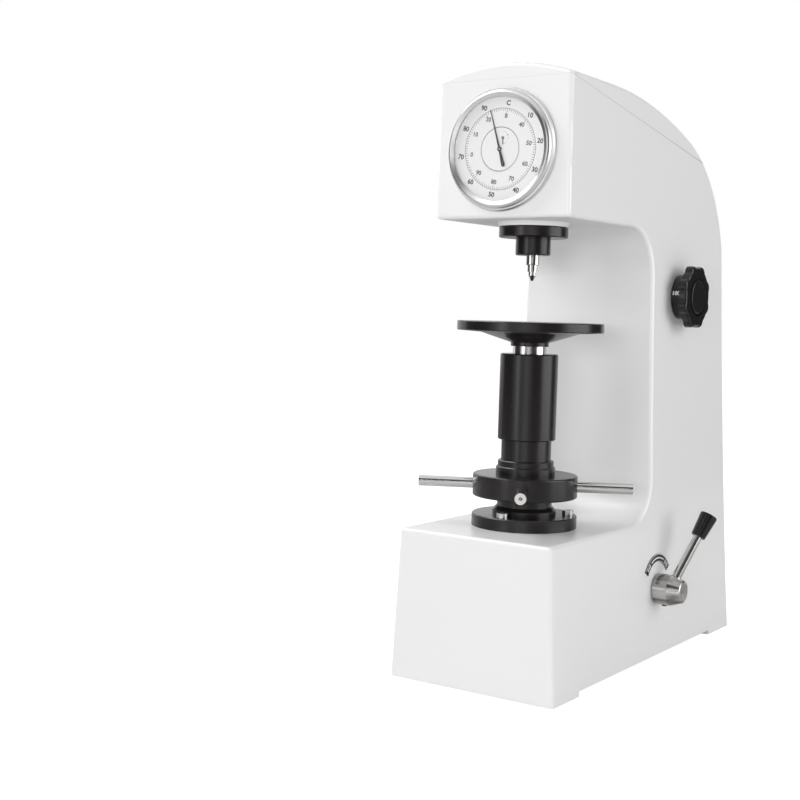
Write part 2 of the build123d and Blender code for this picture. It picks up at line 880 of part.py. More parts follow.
# Fulcrum bracket: a base and two cheeks that hold the fulcrum knife down from above
cheek_in = lever_width / 2 + cheek_gap
cheek_out = cheek_in + cheek_thick
knife_half = knife_size / 2
with BuildPart() as fulcrum_bracket:
    with BuildSketch(level_plane(fulcrum_y - knife_size / 2, head_floor)):
        Rectangle(2 * cheek_out, 4 * knife_size)
    extrude(amount=bracket_base)
    with BuildSketch(side_plane(-cheek_out, fulcrum_y, head_floor)):
        with BuildLine():
            Polyline(
                (-2 * knife_size, 0),
                (knife_size, 0),
                (knife_size, knife_line + knife_size - head_floor),
                (-knife_size, knife_line + knife_size - head_floor),
                close=True,
            )
        make_face()
    extrude(amount=2 * cheek_out)
    with BuildSketch(level_plane(fulcrum_y, head_floor + bracket_base)):
        Rectangle(2 * cheek_in, 8 * knife_size)
    extrude(amount=2 * knife_line, mode=Mode.SUBTRACT)
    with BuildSketch(side_plane(-cheek_out, fulcrum_y, knife_line)):
        with BuildLine():
            Polyline(
                (0, seat_gap),
                (knife_half + knife_slack, -knife_half),
                (knife_half + knife_slack, -knife_size - knife_slack),
                (-knife_half - knife_slack, -knife_size - knife_slack),
                (-knife_half - knife_slack, -knife_half),
                close=True,
            )
        make_face()
    extrude(amount=2 * cheek_out, mode=Mode.SUBTRACT)
    with BuildSketch(level_plane(axis_y, head_floor)):
        Circle(bush_flange)
    extrude(amount=bracket_base, mode=Mode.SUBTRACT)
fulcrum_bracket.part.label = "fulcrum_bracket"
export_step(fulcrum_bracket.part, "parts/fulcrum_bracket.step")


def knife_bar(y, hand, half):
    """A knife bar across the lever at depth y, its edge on the knife line: up for 1, down for -1."""
    with BuildPart() as bar:
        with BuildSketch(side_plane(-half, y, knife_line)):
            with BuildLine():
                Polyline(
                    (0, 0),
                    (knife_half, -hand * knife_half),
                    (knife_half, -hand * knife_size),
                    (-knife_half, -hand * knife_size),
                    (-knife_half, -hand * knife_half),
                    close=True,
                )
            make_face()
        extrude(amount=2 * half)
    return bar.part


# Main lever: an I-section beam, stepped over the spindle seat and pierced to save weight
lever_front = fulcrum_y - knife_size
lever_back = hanger_y + knife_size
block_back = axis_y - spindle_seat - 2 * slack
step_back = axis_y + spindle_seat + 2 * slack + knife_half
with BuildPart() as main_lever:
    with BuildSketch(side_plane(-lever_width / 2, 0, 0)):
        with BuildLine():
            Polyline(
                (lever_front, lever_bottom),
                (block_back, lever_bottom),
                (block_back, lever_step),
                (step_back, lever_step),
                (step_back + knife_size, lever_bottom),
                (lever_back, lever_bottom),
                (lever_back, lever_end_top),
                (step_back + knife_size, lever_top),
                (lever_front, lever_top),
                close=True,
            )
        make_face()
    extrude(amount=lever_width)
    web_depth = (lever_width - lever_web) / 2
    web_start = step_back + 3 * knife_size
    web_end = hanger_y - 2 * knife_size
    rise = (lever_top - lever_end_top) / (lever_back - step_back - knife_size)
    flange = knife_half + edge_break
    for hand in (1, -1):
        with BuildSketch(side_plane(hand * lever_web / 2, 0, 0)):
            with BuildLine():
                Polyline(
                    (web_start, lever_bottom + flange),
                    (web_end, lever_bottom + flange),
                    (web_end, lever_end_top + rise * (lever_back - web_end) - flange),
                    (web_start, lever_end_top + rise * (lever_back - web_start) - flange),
                    close=True,
                )
            make_face()
            fillet(vertices(), radius=flange)
        extrude(amount=hand * web_depth, mode=Mode.SUBTRACT)
    hole_pitch = (web_end - web_start) / lever_holes
    with BuildSketch(side_plane(-lever_width / 2, 0, lever_bottom + 2 * flange + flange / 2)):
        with Locations(*[(web_start + hole_pitch * (n + 0.5), 0) for n in range(lever_holes)]):
            SlotOverall(hole_pitch * hole_share, flange)
    extrude(amount=lever_width, mode=Mode.SUBTRACT)
    for y, hand in ((fulcrum_y, 1), (axis_y, -1), (hanger_y, 1)):
        add(knife_bar(y, hand, lever_width), mode=Mode.SUBTRACT)
main_lever.part.label = "main_lever"
export_step(main_lever.part, "parts/main_lever.step")

stirrup_in = lever_width / 2 + stirrup_gap
stirrup_out = stirrup_in + stirrup_plate
with BuildPart() as lever_knives:
    add(knife_bar(fulcrum_y, 1, cheek_out))
    add(knife_bar(axis_y, -1, lever_width / 2))
    add(knife_bar(hanger_y, 1, stirrup_out))
lever_knives.part.label = "lever_knives"
export_step(lever_knives.part, "parts/lever_knives.step")

# Weight hanger: stirrup over the rear knife, stepped rod, foot
stirrup_base = lever_bottom - 2 * knife_size
rod_steps = [hanger_rod + hanger_step * n for n in (2, 1, 0)]
seats = [weight_base + weight_pitch * n for n in range(3)]
with BuildPart() as weight_hanger:
    with BuildSketch(level_plane(hanger_y, stirrup_base)):
        Rectangle(2 * stirrup_out, 2 * knife_size)
        fillet(vertices(), radius=corner_round)
    extrude(amount=knife_line + knife_size - stirrup_base)
    with BuildSketch(level_plane(hanger_y, stirrup_base + knife_size)):
        Rectangle(2 * stirrup_in, 4 * knife_size)
    extrude(amount=4 * knife_size, mode=Mode.SUBTRACT)
    with BuildSketch(side_plane(-stirrup_out, hanger_y, knife_line)):
        with BuildLine():
            Polyline(
                (0, seat_gap),
                (knife_half + knife_slack, -knife_half),
                (knife_half + knife_slack, -knife_size - knife_slack),
                (-knife_half - knife_slack, -knife_size - knife_slack),
                (-knife_half - knife_slack, -knife_half),
                close=True,
            )
        make_face()
    extrude(amount=2 * stirrup_out, mode=Mode.SUBTRACT)
    for radius, low, high in zip(rod_steps, seats, seats[1:] + [stirrup_base]):
        with BuildSketch(level_plane(hanger_y, low)):
            Circle(radius)
        extrude(amount=high - low)
    with BuildSketch(level_plane(hanger_y, weight_base)):
        Circle(hanger_foot)
    extrude(amount=-stirrup_plate)
weight_hanger.part.label = "weight_hanger"
export_step(weight_hanger.part, "parts/weight_hanger.step")

for name, level, radius in zip(("weight_lower", "weight_middle", "weight_upper"), seats, rod_steps):
    with BuildPart() as weight:
        with BuildSketch(level_plane(hanger_y, level)):
            Circle(weight_radius)
            Circle(radius + slack, mode=Mode.SUBTRACT)
        extrude(amount=weight_thick)
        rims = edges().filter_by(GeomType.CIRCLE).filter_by(lambda e: e.radius > hanger_foot)
        chamfer(rims, length=1.5 * edge_break)
    weight.part.label = name
    export_step(weight.part, f"parts/{name}.step")

# Dashpot that slows the weights
floor_top = wall
with BuildPart() as dashpot_cylinder:
    with BuildSketch(level_plane(hanger_y, floor_top)):
        Circle(dashpot_radius + 2 * dashpot_wall)
    extrude(amount=2 * dashpot_wall)
    with BuildSketch(level_plane(hanger_y, floor_top)):
        Circle(dashpot_radius)
    extrude(amount=dashpot_height)
    with BuildSketch(level_plane(hanger_y, floor_top + dashpot_wall)):
        Circle(dashpot_radius - dashpot_wall)
    extrude(amount=dashpot_height, mode=Mode.SUBTRACT)
dashpot_cylinder.part.label = "dashpot_cylinder"
export_step(dashpot_cylinder.part, "parts/dashpot_cylinder.step")

with BuildPart() as dashpot_lid:
    with BuildSketch(level_plane(hanger_y, floor_top + dashpot_height)):
        Circle(dashpot_radius + dashpot_wall / 2)
        Circle(piston_rod + slack, mode=Mode.SUBTRACT)
    extrude(amount=dashpot_wall)
dashpot_lid.part.label = "dashpot_lid"
export_step(dashpot_lid.part, "parts/dashpot_lid.step")

with BuildPart() as dashpot_piston:
    with BuildSketch(level_plane(hanger_y, piston_level)):
        Circle(dashpot_radius - dashpot_wall - running_fit)
        with PolarLocations(dashpot_radius / 2, 4):
            Circle(dashpot_wall / 2, mode=Mode.SUBTRACT)
    extrude(amount=-piston_thick)
    with BuildSketch(level_plane(hanger_y, piston_level)):
        Circle(piston_rod)
    extrude(amount=weight_base - stirrup_plate - piston_level)
dashpot_piston.part.label = "dashpot_piston"
export_step(dashpot_piston.part, "parts/dashpot_piston.step")

# Load shaft across the base, with its bushes, cam, hub, rod and grip
hub_start = side_x(lever_height - hub_barrel) + hub_clear
hub_break = hub_start + hub_barrel_length
hub_end = hub_break + hub_nose
shaft_left = wall - side_x(lever_height)
with BuildPart() as lever_shaft:
    with BuildSketch(side_plane(shaft_left + slack, lever_y, lever_height)):
        Circle(shaft_radius)
    extrude(amount=hub_break - shaft_left - slack)
lever_shaft.part.label = "lever_shaft"
export_step(lever_shaft.part, "parts/lever_shaft.step")


with BuildPart() as lever_shaft_bushes:
    for hand, length in ((1, boss_reach + wall / 2), (-1, boss_reach)):
        with BuildSketch(side_plane(hand * lever_boss_x, lever_y, lever_height)):
            Circle(lever_bush)
            Circle(shaft_radius + running_fit, mode=Mode.SUBTRACT)
        extrude(amount=hand * length)
lever_shaft_bushes.part.label = "lever_shaft_bushes"
export_step(lever_shaft_bushes.part, "parts/lever_shaft_bushes.step")


def spiral(start, end, radius, rate, steps=12):
    """Points of a spiral whose radius grows evenly, rate millimetres per degree, from start to end."""
    for step in range(steps + 1):
        angle = start + (end - start) * step / steps
        reach = radius + rate * (angle - start)
        yield (reach * cos(radians(angle)), reach * sin(radians(angle)))


# The cam's radius falls evenly as the lever comes forward, so the lift rod sinks in step
load_rate = load_cam_fall / load_cam_sweep
with BuildPart() as load_cam:
    with BuildSketch(side_plane(-load_cam_width / 2, lever_y, lever_height)):
        with BuildLine():
            low_angle = 90 - load_cam_sweep - load_cam_margin
            low_radius = load_cam_radius - load_rate * (load_cam_sweep + load_cam_margin)
            rise_line = Spline(*spiral(low_angle, 90 + load_cam_margin, low_radius, load_rate))
            ThreePointArc(rise_line @ 1, (-shaft_radius * 2, -shaft_radius), rise_line @ 0)
        make_face()
        Circle(shaft_radius, mode=Mode.SUBTRACT)
    extrude(amount=load_cam_width)
load_cam.part.label = "load_cam"
export_step(load_cam.part, "parts/load_cam.step")

# Unit direction of the hand rod, leaning back and outwards
rod_out = (
    sin(radians(rod_lean_out)),
    cos(radians(rod_lean_out)) * sin(radians(rod_lean_back)),
    cos(radians(rod_lean_out)) * cos(radians(rod_lean_back)),
)
rod_root_x = hub_break - lever_rod_radius / 2


def rod_plane(reach):
    """A plane square to the hand rod, a given reach from the shaft's axis."""
    root = Vector(rod_root_x, lever_y, lever_height)
    return Plane(root + Vector(*rod_out) * reach, z_dir=rod_out)


with BuildPart() as lever_hub:
    with BuildSketch(side_plane(hub_start, lever_y, lever_height)):
        Circle(hub_barrel)
    extrude(amount=hub_barrel_length)
    with BuildSketch(side_plane(hub_break, lever_y, lever_height)):
        Circle(hub_barrel)
    with BuildSketch(side_plane(hub_end, lever_y, lever_height)):
        Circle(hub_face)
    loft()
    chamfer(faces().sort_by(Axis.X)[-1].edges(), length=fine_break)
    with BuildSketch(side_plane(hub_start, lever_y, lever_height)):
        Circle(shaft_radius)
    extrude(amount=hub_barrel_length, mode=Mode.SUBTRACT)
    with BuildSketch(rod_plane(shaft_radius)):
        Circle(lever_rod_radius)
    extrude(amount=hub_barrel, mode=Mode.SUBTRACT)
lever_hub.part.label = "lever_hub"
export_step(lever_hub.part, "parts/lever_hub.step")

with BuildPart() as lever_rod:
    with BuildSketch(rod_plane(shaft_radius)):
        Circle(lever_rod_radius)
    extrude(amount=lever_rod_length - shaft_radius - grip_length / 3)
lever_rod.part.label = "lever_rod"
export_step(lever_rod.part, "parts/lever_rod.step")

with BuildPart() as lever_grip:
    with BuildSketch(rod_plane(lever_rod_length - grip_length)):
        Circle(grip_low)
    with BuildSketch(rod_plane(lever_rod_length)):
        Circle(grip_high)
    loft()
    fillet(edges().filter_by(GeomType.CIRCLE), radius=grip_round)
    with BuildSketch(rod_plane(lever_rod_length - grip_length)):
        Circle(lever_rod_radius)
    extrude(amount=grip_length * 2 / 3, mode=Mode.SUBTRACT)
lever_grip.part.label = "lever_grip"
export_step(lever_grip.part, "parts/lever_grip.step")

# Lift rod that carries the main lever while the load is off
roller_z = lever_height + load_cam_radius + slack + lift_roller
fork_in = load_cam_width / 2 + fork_gap
fork_out = fork_in + fork_thick
fork_half = lift_roller - corner_round
with BuildPart() as lift_rod:
    with BuildSketch(side_plane(-fork_out, lever_y, roller_z)):
        with BuildLine():
            legs = Polyline((-fork_half, 0), (-fork_half, lift_roller + 2 * fork_thick))
            bridge = Line(legs @ 1, (fork_half, lift_roller + 2 * fork_thick))
            leg = Line(bridge @ 1, (fork_half, 0))
            RadiusArc(leg @ 1, legs @ 0, fork_half)
        make_face()
    extrude(amount=2 * fork_out)
    with BuildSketch(level_plane(lever_y, roller_z - 2 * lift_roller)):
        Rectangle(2 * fork_in, 4 * lift_roller)
    extrude(amount=3 * lift_roller + slack + edge_break, mode=Mode.SUBTRACT)
    with BuildSketch(side_plane(-fork_out, lever_y, roller_z)):
        Circle(catch_pin)
    extrude(amount=2 * fork_out)
    with BuildSketch(level_plane(lever_y, roller_z + lift_roller + 2 * fork_thick)):
        Circle(lift_radius)
    extrude(amount=lever_bottom - slack - roller_z - lift_roller - 2 * fork_thick)
lift_rod.part.label = "lift_rod"
export_step(lift_rod.part, "parts/lift_rod.step")

with BuildPart() as cam_roller:
    with BuildSketch(side_plane(-load_cam_width / 2, lever_y, roller_z)):
        Circle(lift_roller)
        Circle(catch_pin, mode=Mode.SUBTRACT)
    extrude(amount=load_cam_width)
cam_roller.part.label = "cam_roller"
export_step(cam_roller.part, "parts/cam_roller.step")

with BuildPart() as rod_guide:
    with BuildSketch(level_plane(inner_column_y, guide_level)):
        Rectangle(guide_width, 2 * (lever_y - inner_column_y + lift_radius + dashpot_wall))
        fillet(vertices(), radius=corner_round)
        Rectangle(guide_width, guide_width, align=(Align.CENTER, Align.MAX), mode=Mode.SUBTRACT)
        with Locations((0, lever_y - inner_column_y)):
            Circle(lift_radius + running_fit, mode=Mode.SUBTRACT)
    extrude(amount=guide_height)
rod_guide.part.label = "rod_guide"
export_step(rod_guide.part, "parts/rod_guide.step")

# Force selector: shaft, bushes, spiral cam, lobed knob
knob_start = side_x(selector_height - knob_barrel) + hub_clear
rim_start = knob_start + knob_barrel_length
rim_end = rim_start + knob_rim_thick
selector_left = wall - side_x(selector_height)
with BuildPart() as selector_shaft:
    with BuildSketch(side_plane(selector_left + slack, selector_y, selector_height)):
        Circle(selector_radius)
    extrude(amount=rim_start - selector_left - slack)
selector_shaft.part.label = "selector_shaft"
export_step(selector_shaft.part, "parts/selector_shaft.step")

with BuildPart() as selector_bushes:
    for hand, length in ((1, boss_reach + wall / 2), (-1, boss_reach)):
        with BuildSketch(side_plane(hand * selector_boss_x, selector_y, selector_height)):
            Circle(selector_bush)
            Circle(selector_radius + running_fit, mode=Mode.SUBTRACT)
        extrude(amount=hand * length)
selector_bushes.part.label = "selector_bushes"
export_step(selector_bushes.part, "parts/selector_bushes.step")

select_rate = select_lift / select_sweep
with BuildPart() as selector_cam:
    with BuildSketch(side_plane(-select_cam_width / 2, selector_y, selector_height)):
        with BuildLine():
            reach = select_sweep + select_cam_margin
            least = select_cam_mean - select_rate * reach
            curl = Spline(*spiral(90 - reach, 90 + reach, least, select_rate, steps=24))
            Line(curl @ 1, curl @ 0)
        make_face()
        Circle(selector_radius, mode=Mode.SUBTRACT)
    extrude(amount=select_cam_width)
selector_cam.part.label = "selector_cam"
export_step(selector_cam.part, "parts/selector_cam.step")

with BuildPart() as selector_knob:
    with BuildSketch(side_plane(knob_start, selector_y, selector_height)):
        Circle(knob_barrel)
    extrude(amount=knob_barrel_length)
    with BuildSketch(side_plane(rim_start, selector_y, selector_height)):
        Circle(knob_rim)
        with PolarLocations(lobe_circle, lobe_count, start_angle=180 / lobe_count):
            Circle(lobe_radius)
        fillet(vertices(), radius=knob_crown)
    extrude(amount=knob_rim_thick)
    fillet(faces().sort_by(Axis.X)[-1].edges(), radius=knob_crown)
    with BuildSketch(side_plane(rim_end, selector_y, selector_height)):
        Circle(cap_disc_radius + knob_groove)
    extrude(amount=-knob_groove, mode=Mode.SUBTRACT)
    with BuildSketch(side_plane(knob_start, selector_y, selector_height)):
        Circle(selector_radius)
    extrude(amount=knob_barrel_length, mode=Mode.SUBTRACT)
selector_knob.part.label = "selector_knob"
export_step(selector_knob.part, "parts/selector_knob.step")

with BuildPart() as knob_cap:
    with BuildSketch(side_plane(rim_end - knob_groove, selector_y, selector_height)):
        Circle(cap_disc_radius)
    extrude(amount=knob_groove + cap_disc_proud)
    fillet(faces().sort_by(Axis.X)[-1].edges(), radius=cap_disc_round)
knob_cap.part.label = "knob_cap"
export_step(knob_cap.part, "parts/knob_cap.step")

# Catch frame: a plate beside the cam, a follower over it, and two forks under the upper weights
plate_x = select_cam_width / 2 + catch_side
catch_roller_z = selector_height + select_cam_mean + slack + catch_roller
fork_tops = [seat - catch_gap for seat in seats[1:]]
plate_bottom = fork_tops[0] - catch_plate
plate_top = catch_roller_z + catch_roller
with BuildPart() as catch_frame:
    with BuildSketch(side_plane(plate_x, selector_y, 0)):
        with Locations((0, (plate_bottom + plate_top) / 2)):
            Rectangle(catch_width, plate_top - plate_bottom)
            fillet(vertices().sort_by(Axis.Y)[-2:], radius=catch_plate)
        with Locations((0, selector_height)):
            SlotOverall(
                2 * (selector_radius + select_lift + catch_spare), 2 * (selector_radius + running_fit),
                rotation=90, mode=Mode.SUBTRACT,
            )
    extrude(amount=catch_plate)
    with BuildSketch(side_plane(-select_cam_width / 2, selector_y, catch_roller_z)):
        Circle(catch_pin)
    extrude(amount=plate_x + select_cam_width / 2)
    for fork_top in fork_tops:
        with BuildSketch(level_plane(selector_y + catch_width / 2, fork_top)):
            fork_back = hanger_y + hanger_foot / 2 - selector_y - catch_width / 2
            fork_width = 2 * (plate_x + catch_plate)
            with Locations((0, -catch_width)):
                Rectangle(fork_width, fork_back + catch_width, align=(Align.CENTER, Align.MIN))
            slot_front = hanger_y - hanger_foot / 2 - selector_y - catch_width / 2
            with Locations((0, slot_front)):
                Rectangle(hanger_foot, fork_back, align=(Align.CENTER, Align.MIN), mode=Mode.SUBTRACT)
        extrude(amount=-catch_plate)
catch_frame.part.label = "catch_frame"
export_step(catch_frame.part, "parts/catch_frame.step")

with BuildPart() as catch_follower:
    with BuildSketch(side_plane(-select_cam_width / 2, selector_y, catch_roller_z)):
        Circle(catch_roller)
        Circle(catch_pin, mode=Mode.SUBTRACT)
    extrude(amount=select_cam_width)
catch_follower.part.label = "catch_follower"
export_step(catch_follower.part, "parts/catch_follower.step")

guide_back = selector_y + catch_width / 2 + catch_plate
with BuildPart() as catch_guide:
    with BuildSketch(level_plane(inner_column_y, (guide_level + selector_height - guide_height) / 2)):
        with Locations((plate_x - corner_round, 0)):
            guide_reach = guide_back - inner_column_y
            Rectangle(catch_plate + 3 * corner_round, guide_reach, align=(Align.MIN, Align.MIN))
        with Locations((plate_x - running_fit, selector_y - inner_column_y)):
            Rectangle(
                catch_plate + 2 * running_fit, catch_width + 2 * running_fit,
                align=(Align.MIN, Align.CENTER), mode=Mode.SUBTRACT,
            )
    extrude(amount=guide_height)
catch_guide.part.label = "catch_guide"
export_step(catch_guide.part, "parts/catch_guide.step")

# Gauge in the head's face. Depths are measured out of the face, towards the operator.
with BuildPart() as dial_housing:
    with BuildSketch(face_plane(dial_height)):
        Circle(flange_seat)
    extrude(amount=flange_depth)
    with BuildSketch(face_plane(dial_height)):
        Circle(cup_radius)
    extrude(amount=-cup_depth)
    with BuildSketch(face_plane(dial_height, cup_wall - cup_depth)):
        Circle(cup_radius - cup_wall)
    extrude(amount=cup_depth + flange_depth, mode=Mode.SUBTRACT)
dial_housing.part.label = "dial_housing"
export_step(dial_housing.part, "parts/dial_housing.step")

dial_front = flange_depth + dial_gap + dial_thick
gauge_turning = Plane((0, head_y, dial_height), x_dir=(1, 0, 0), z_dir=(0, 0, 1))
gauge_axis = Axis((0, head_y, dial_height), (0, 1, 0))
rim_step = (bezel_radius - flange_seat) / 3
with BuildPart() as bezel:
    with BuildSketch(gauge_turning):
        with BuildLine():
            Polyline(
                (flange_seat + running_fit, -dial_gap),
                (bezel_radius, -dial_gap),
                (bezel_radius, -bezel_depth / 3),
                (bezel_radius - rim_step, -bezel_depth / 2),
                (bezel_radius - 2 * rim_step, -bezel_depth / 2),
                (bezel_radius - 3 * rim_step, -bezel_depth + 4 * bezel_bead),
                (bezel_radius - 4 * rim_step, -bezel_depth + bezel_bead),
                (bezel_radius - 5 * rim_step, -bezel_depth),
                (bezel_radius - 6 * rim_step, -bezel_depth + 1.5 * bezel_bead),
                (bezel_inner, -crystal_level - crystal_thick - bezel_bead),
                (bezel_inner, -crystal_level - crystal_thick),
                (dial_radius, -crystal_level - crystal_thick),
                (dial_radius, -crystal_level),
                (bezel_inner + dial_lip, -crystal_level),
                (bezel_inner + dial_lip, -dial_front),
                (dial_radius, -dial_front),
                (dial_radius, -flange_depth - dial_gap / 2),
                (flange_seat + running_fit, -flange_depth - dial_gap / 2),
                close=True,
            )
        make_face()
    revolve(axis=gauge_axis)
bezel.part.label = "bezel"
export_step(bezel.part, "parts/bezel.step")

with BuildPart() as crystal:
    with BuildSketch(face_plane(dial_height, crystal_level)):
        Circle(dial_radius)
    extrude(amount=crystal_thick)
crystal.part.label = "crystal"
export_step(crystal.part, "parts/crystal.step")

with BuildPart() as dial_plate:
    with BuildSketch(face_plane(dial_height, dial_front)):
        Circle(dial_radius)
        Circle(centre_radius + dial_gap, mode=Mode.SUBTRACT)
    extrude(amount=-dial_thick)
dial_plate.part.label = "dial_plate"
export_step(dial_plate.part, "parts/dial_plate.step")

counter_arbor = arbor_radius * 0.75
with BuildPart() as movement_plate:
    with BuildSketch(face_plane(dial_height, plate_level)):
        Circle(cup_radius - cup_wall)
        Circle(arbor_radius + running_fit, mode=Mode.SUBTRACT)
        with Locations(counter_offset):
            Circle(counter_arbor + running_fit, mode=Mode.SUBTRACT)
    extrude(amount=cup_wall)
movement_plate.part.label = "movement_plate"
export_step(movement_plate.part, "parts/movement_plate.step")

with BuildPart() as centre_plate:
    with BuildSketch(face_plane(dial_height, dial_front)):
        Circle(centre_radius)
        Circle(arbor_radius + running_fit, mode=Mode.SUBTRACT)
        with Locations(counter_offset):
            Circle(counter_arbor + running_fit, mode=Mode.SUBTRACT)
    extrude(amount=-dial_thick)
    with BuildSketch(face_plane(dial_height, plate_level + cup_wall)):
        with PolarLocations(centre_radius - cup_wall, post_count):
            Circle(cup_wall / 2)
    extrude(amount=dial_front - dial_thick - plate_level - cup_wall)
centre_plate.part.label = "centre_plate"
export_step(centre_plate.part, "parts/centre_plate.step")

with BuildPart() as pointer_arbor:
    with BuildSketch(face_plane(dial_height, plate_level - arbor_tail)):
        Circle(arbor_radius)
    extrude(amount=pointer_level + pointer_thick - plate_level + arbor_tail)
    with BuildSketch(face_plane(dial_height, plate_level + 2 * cup_wall)):
        Circle(pinion_radius)
    extrude(amount=cup_wall)
pointer_arbor.part.label = "pointer_arbor"
export_step(pointer_arbor.part, "parts/pointer_arbor.step")


def hand_plane(level):
    """The gauge's plane turned to where the long hand rests."""
    angle = radians(pointer_turn)
    origin = face_plane(dial_height, level).origin
    return Plane(origin, x_dir=(cos(angle), 0, sin(angle)), z_dir=(0, -1, 0))


tail_centre = pointer_disc - pointer_tail
with BuildPart() as pointer:
    with BuildSketch(hand_plane(pointer_level)):
        with BuildLine():
            Polyline(
                (-pointer_tip, pointer_length),
                (pointer_tip, pointer_length),
                (pointer_waist, 0),
                (pointer_disc, tail_centre),
                (-pointer_disc, tail_centre),
                (-pointer_waist, 0),
                close=True,
            )
        make_face()
        with Locations((0, tail_centre)):
            Circle(pointer_disc)
        Circle(pointer_boss)
        Circle(arbor_radius, mode=Mode.SUBTRACT)
    extrude(amount=pointer_thick)
pointer.part.label = "pointer"
export_step(pointer.part, "parts/pointer.step")

counter_distance = hypot(*counter_offset)
with BuildPart() as counter_wheel:
    with BuildSketch(face_plane(dial_height, plate_level + 2 * cup_wall)):
        with Locations(counter_offset):
            Circle(counter_distance - pinion_radius - running_fit)
    extrude(amount=cup_wall)
    with BuildSketch(face_plane(dial_height, plate_level - arbor_tail)):
        with Locations(counter_offset):
            Circle(counter_arbor)
    extrude(amount=counter_level + counter_thick - plate_level + arbor_tail)
counter_wheel.part.label = "counter_wheel"
export_step(counter_wheel.part, "parts/counter_wheel.step")

with BuildPart() as counter_pointer:
    with BuildSketch(face_plane(dial_height, counter_level)):
        with Locations(counter_offset):
            Circle(counter_boss)
            Rectangle(counter_width, counter_length, align=(Align.CENTER, Align.MAX))
            Circle(counter_arbor, mode=Mode.SUBTRACT)
    extrude(amount=counter_thick)
counter_pointer.part.label = "counter_pointer"
export_step(counter_pointer.part, "parts/counter_pointer.step")
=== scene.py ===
import bpy
import bmesh
import json
from math import cos, pi, radians, sin
from mathutils import Euler, Matrix, Vector
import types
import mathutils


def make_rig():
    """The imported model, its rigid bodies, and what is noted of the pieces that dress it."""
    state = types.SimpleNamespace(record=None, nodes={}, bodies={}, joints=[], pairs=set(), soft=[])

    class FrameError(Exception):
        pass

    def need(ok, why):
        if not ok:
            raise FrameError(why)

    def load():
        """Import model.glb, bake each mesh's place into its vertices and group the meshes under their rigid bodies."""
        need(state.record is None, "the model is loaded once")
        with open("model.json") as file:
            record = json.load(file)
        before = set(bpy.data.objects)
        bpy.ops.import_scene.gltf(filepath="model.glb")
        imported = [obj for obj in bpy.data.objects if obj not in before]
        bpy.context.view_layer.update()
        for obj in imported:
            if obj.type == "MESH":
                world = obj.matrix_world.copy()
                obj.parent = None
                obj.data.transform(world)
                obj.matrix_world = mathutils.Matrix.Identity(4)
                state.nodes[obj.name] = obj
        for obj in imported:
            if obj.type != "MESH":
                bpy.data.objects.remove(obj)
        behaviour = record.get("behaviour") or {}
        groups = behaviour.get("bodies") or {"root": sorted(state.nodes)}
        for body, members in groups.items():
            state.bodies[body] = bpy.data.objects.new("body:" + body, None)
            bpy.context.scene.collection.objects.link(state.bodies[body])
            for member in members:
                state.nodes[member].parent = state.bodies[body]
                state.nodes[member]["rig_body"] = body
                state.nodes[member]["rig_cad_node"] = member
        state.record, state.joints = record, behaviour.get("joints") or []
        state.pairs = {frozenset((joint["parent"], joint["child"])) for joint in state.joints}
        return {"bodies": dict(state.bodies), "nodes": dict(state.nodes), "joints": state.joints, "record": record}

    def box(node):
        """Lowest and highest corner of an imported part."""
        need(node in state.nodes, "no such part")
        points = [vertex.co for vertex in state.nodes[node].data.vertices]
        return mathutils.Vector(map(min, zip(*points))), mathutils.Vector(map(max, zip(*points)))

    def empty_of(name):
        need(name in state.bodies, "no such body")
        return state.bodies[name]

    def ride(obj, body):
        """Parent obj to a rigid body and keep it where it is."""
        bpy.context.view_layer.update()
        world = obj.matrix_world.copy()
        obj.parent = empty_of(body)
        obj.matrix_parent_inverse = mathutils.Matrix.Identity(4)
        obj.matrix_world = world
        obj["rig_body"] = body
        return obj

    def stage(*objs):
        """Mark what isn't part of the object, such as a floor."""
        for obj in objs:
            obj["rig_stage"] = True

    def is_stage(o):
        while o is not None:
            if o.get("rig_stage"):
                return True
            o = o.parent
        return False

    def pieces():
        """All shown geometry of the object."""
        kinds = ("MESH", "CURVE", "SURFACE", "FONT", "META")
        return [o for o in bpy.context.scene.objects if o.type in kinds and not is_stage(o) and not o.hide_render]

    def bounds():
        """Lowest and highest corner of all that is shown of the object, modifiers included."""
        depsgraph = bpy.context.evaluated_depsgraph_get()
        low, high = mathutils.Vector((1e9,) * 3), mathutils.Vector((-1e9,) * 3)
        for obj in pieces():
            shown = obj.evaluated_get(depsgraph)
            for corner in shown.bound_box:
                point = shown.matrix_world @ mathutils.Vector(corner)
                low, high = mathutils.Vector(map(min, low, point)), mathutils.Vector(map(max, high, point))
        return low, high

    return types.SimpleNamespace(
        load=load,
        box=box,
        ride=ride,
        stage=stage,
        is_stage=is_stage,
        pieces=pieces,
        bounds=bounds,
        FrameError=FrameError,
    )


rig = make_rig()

# Bench hardness tester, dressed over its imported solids. Metres, +Z up, +Y to the machine's back.
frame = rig.load()
nodes = frame["nodes"]
lowest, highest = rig.bounds()
sizeFile = "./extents.json"
with open(sizeFile, "w") as handle:
    json.dump({"loaded": [list(lowest), list(highest)]}, handle)
print("stage: frame loaded")

smoothing = {"solids": 28.0, "print": 35.0}  # degrees between two faces that still shade as one
upright = Euler((pi / 2, 0, 0)).to_matrix().to_4x4()  # stands a flat word up to face the operator


# Leaves nothing selected and the scene in object mode.
def deselectAll():
    if bpy.context.object and bpy.context.object.mode != "OBJECT":
        bpy.ops.object.mode_set(mode="OBJECT")
    bpy.ops.object.select_all(action="DESELECT")


# Selects one object alone.
def activate(obj):
    deselectAll()
    obj.select_set(True)
    bpy.context.view_layer.objects.active = obj


# Gives an object one material and smooth shading across its soft edges.
def dress(obj, finish, angle):
    activate(obj)
    obj.data.materials.clear()
    obj.data.materials.append(materials[finish])
    bpy.ops.object.shade_smooth_by_angle(angle=radians(angle))


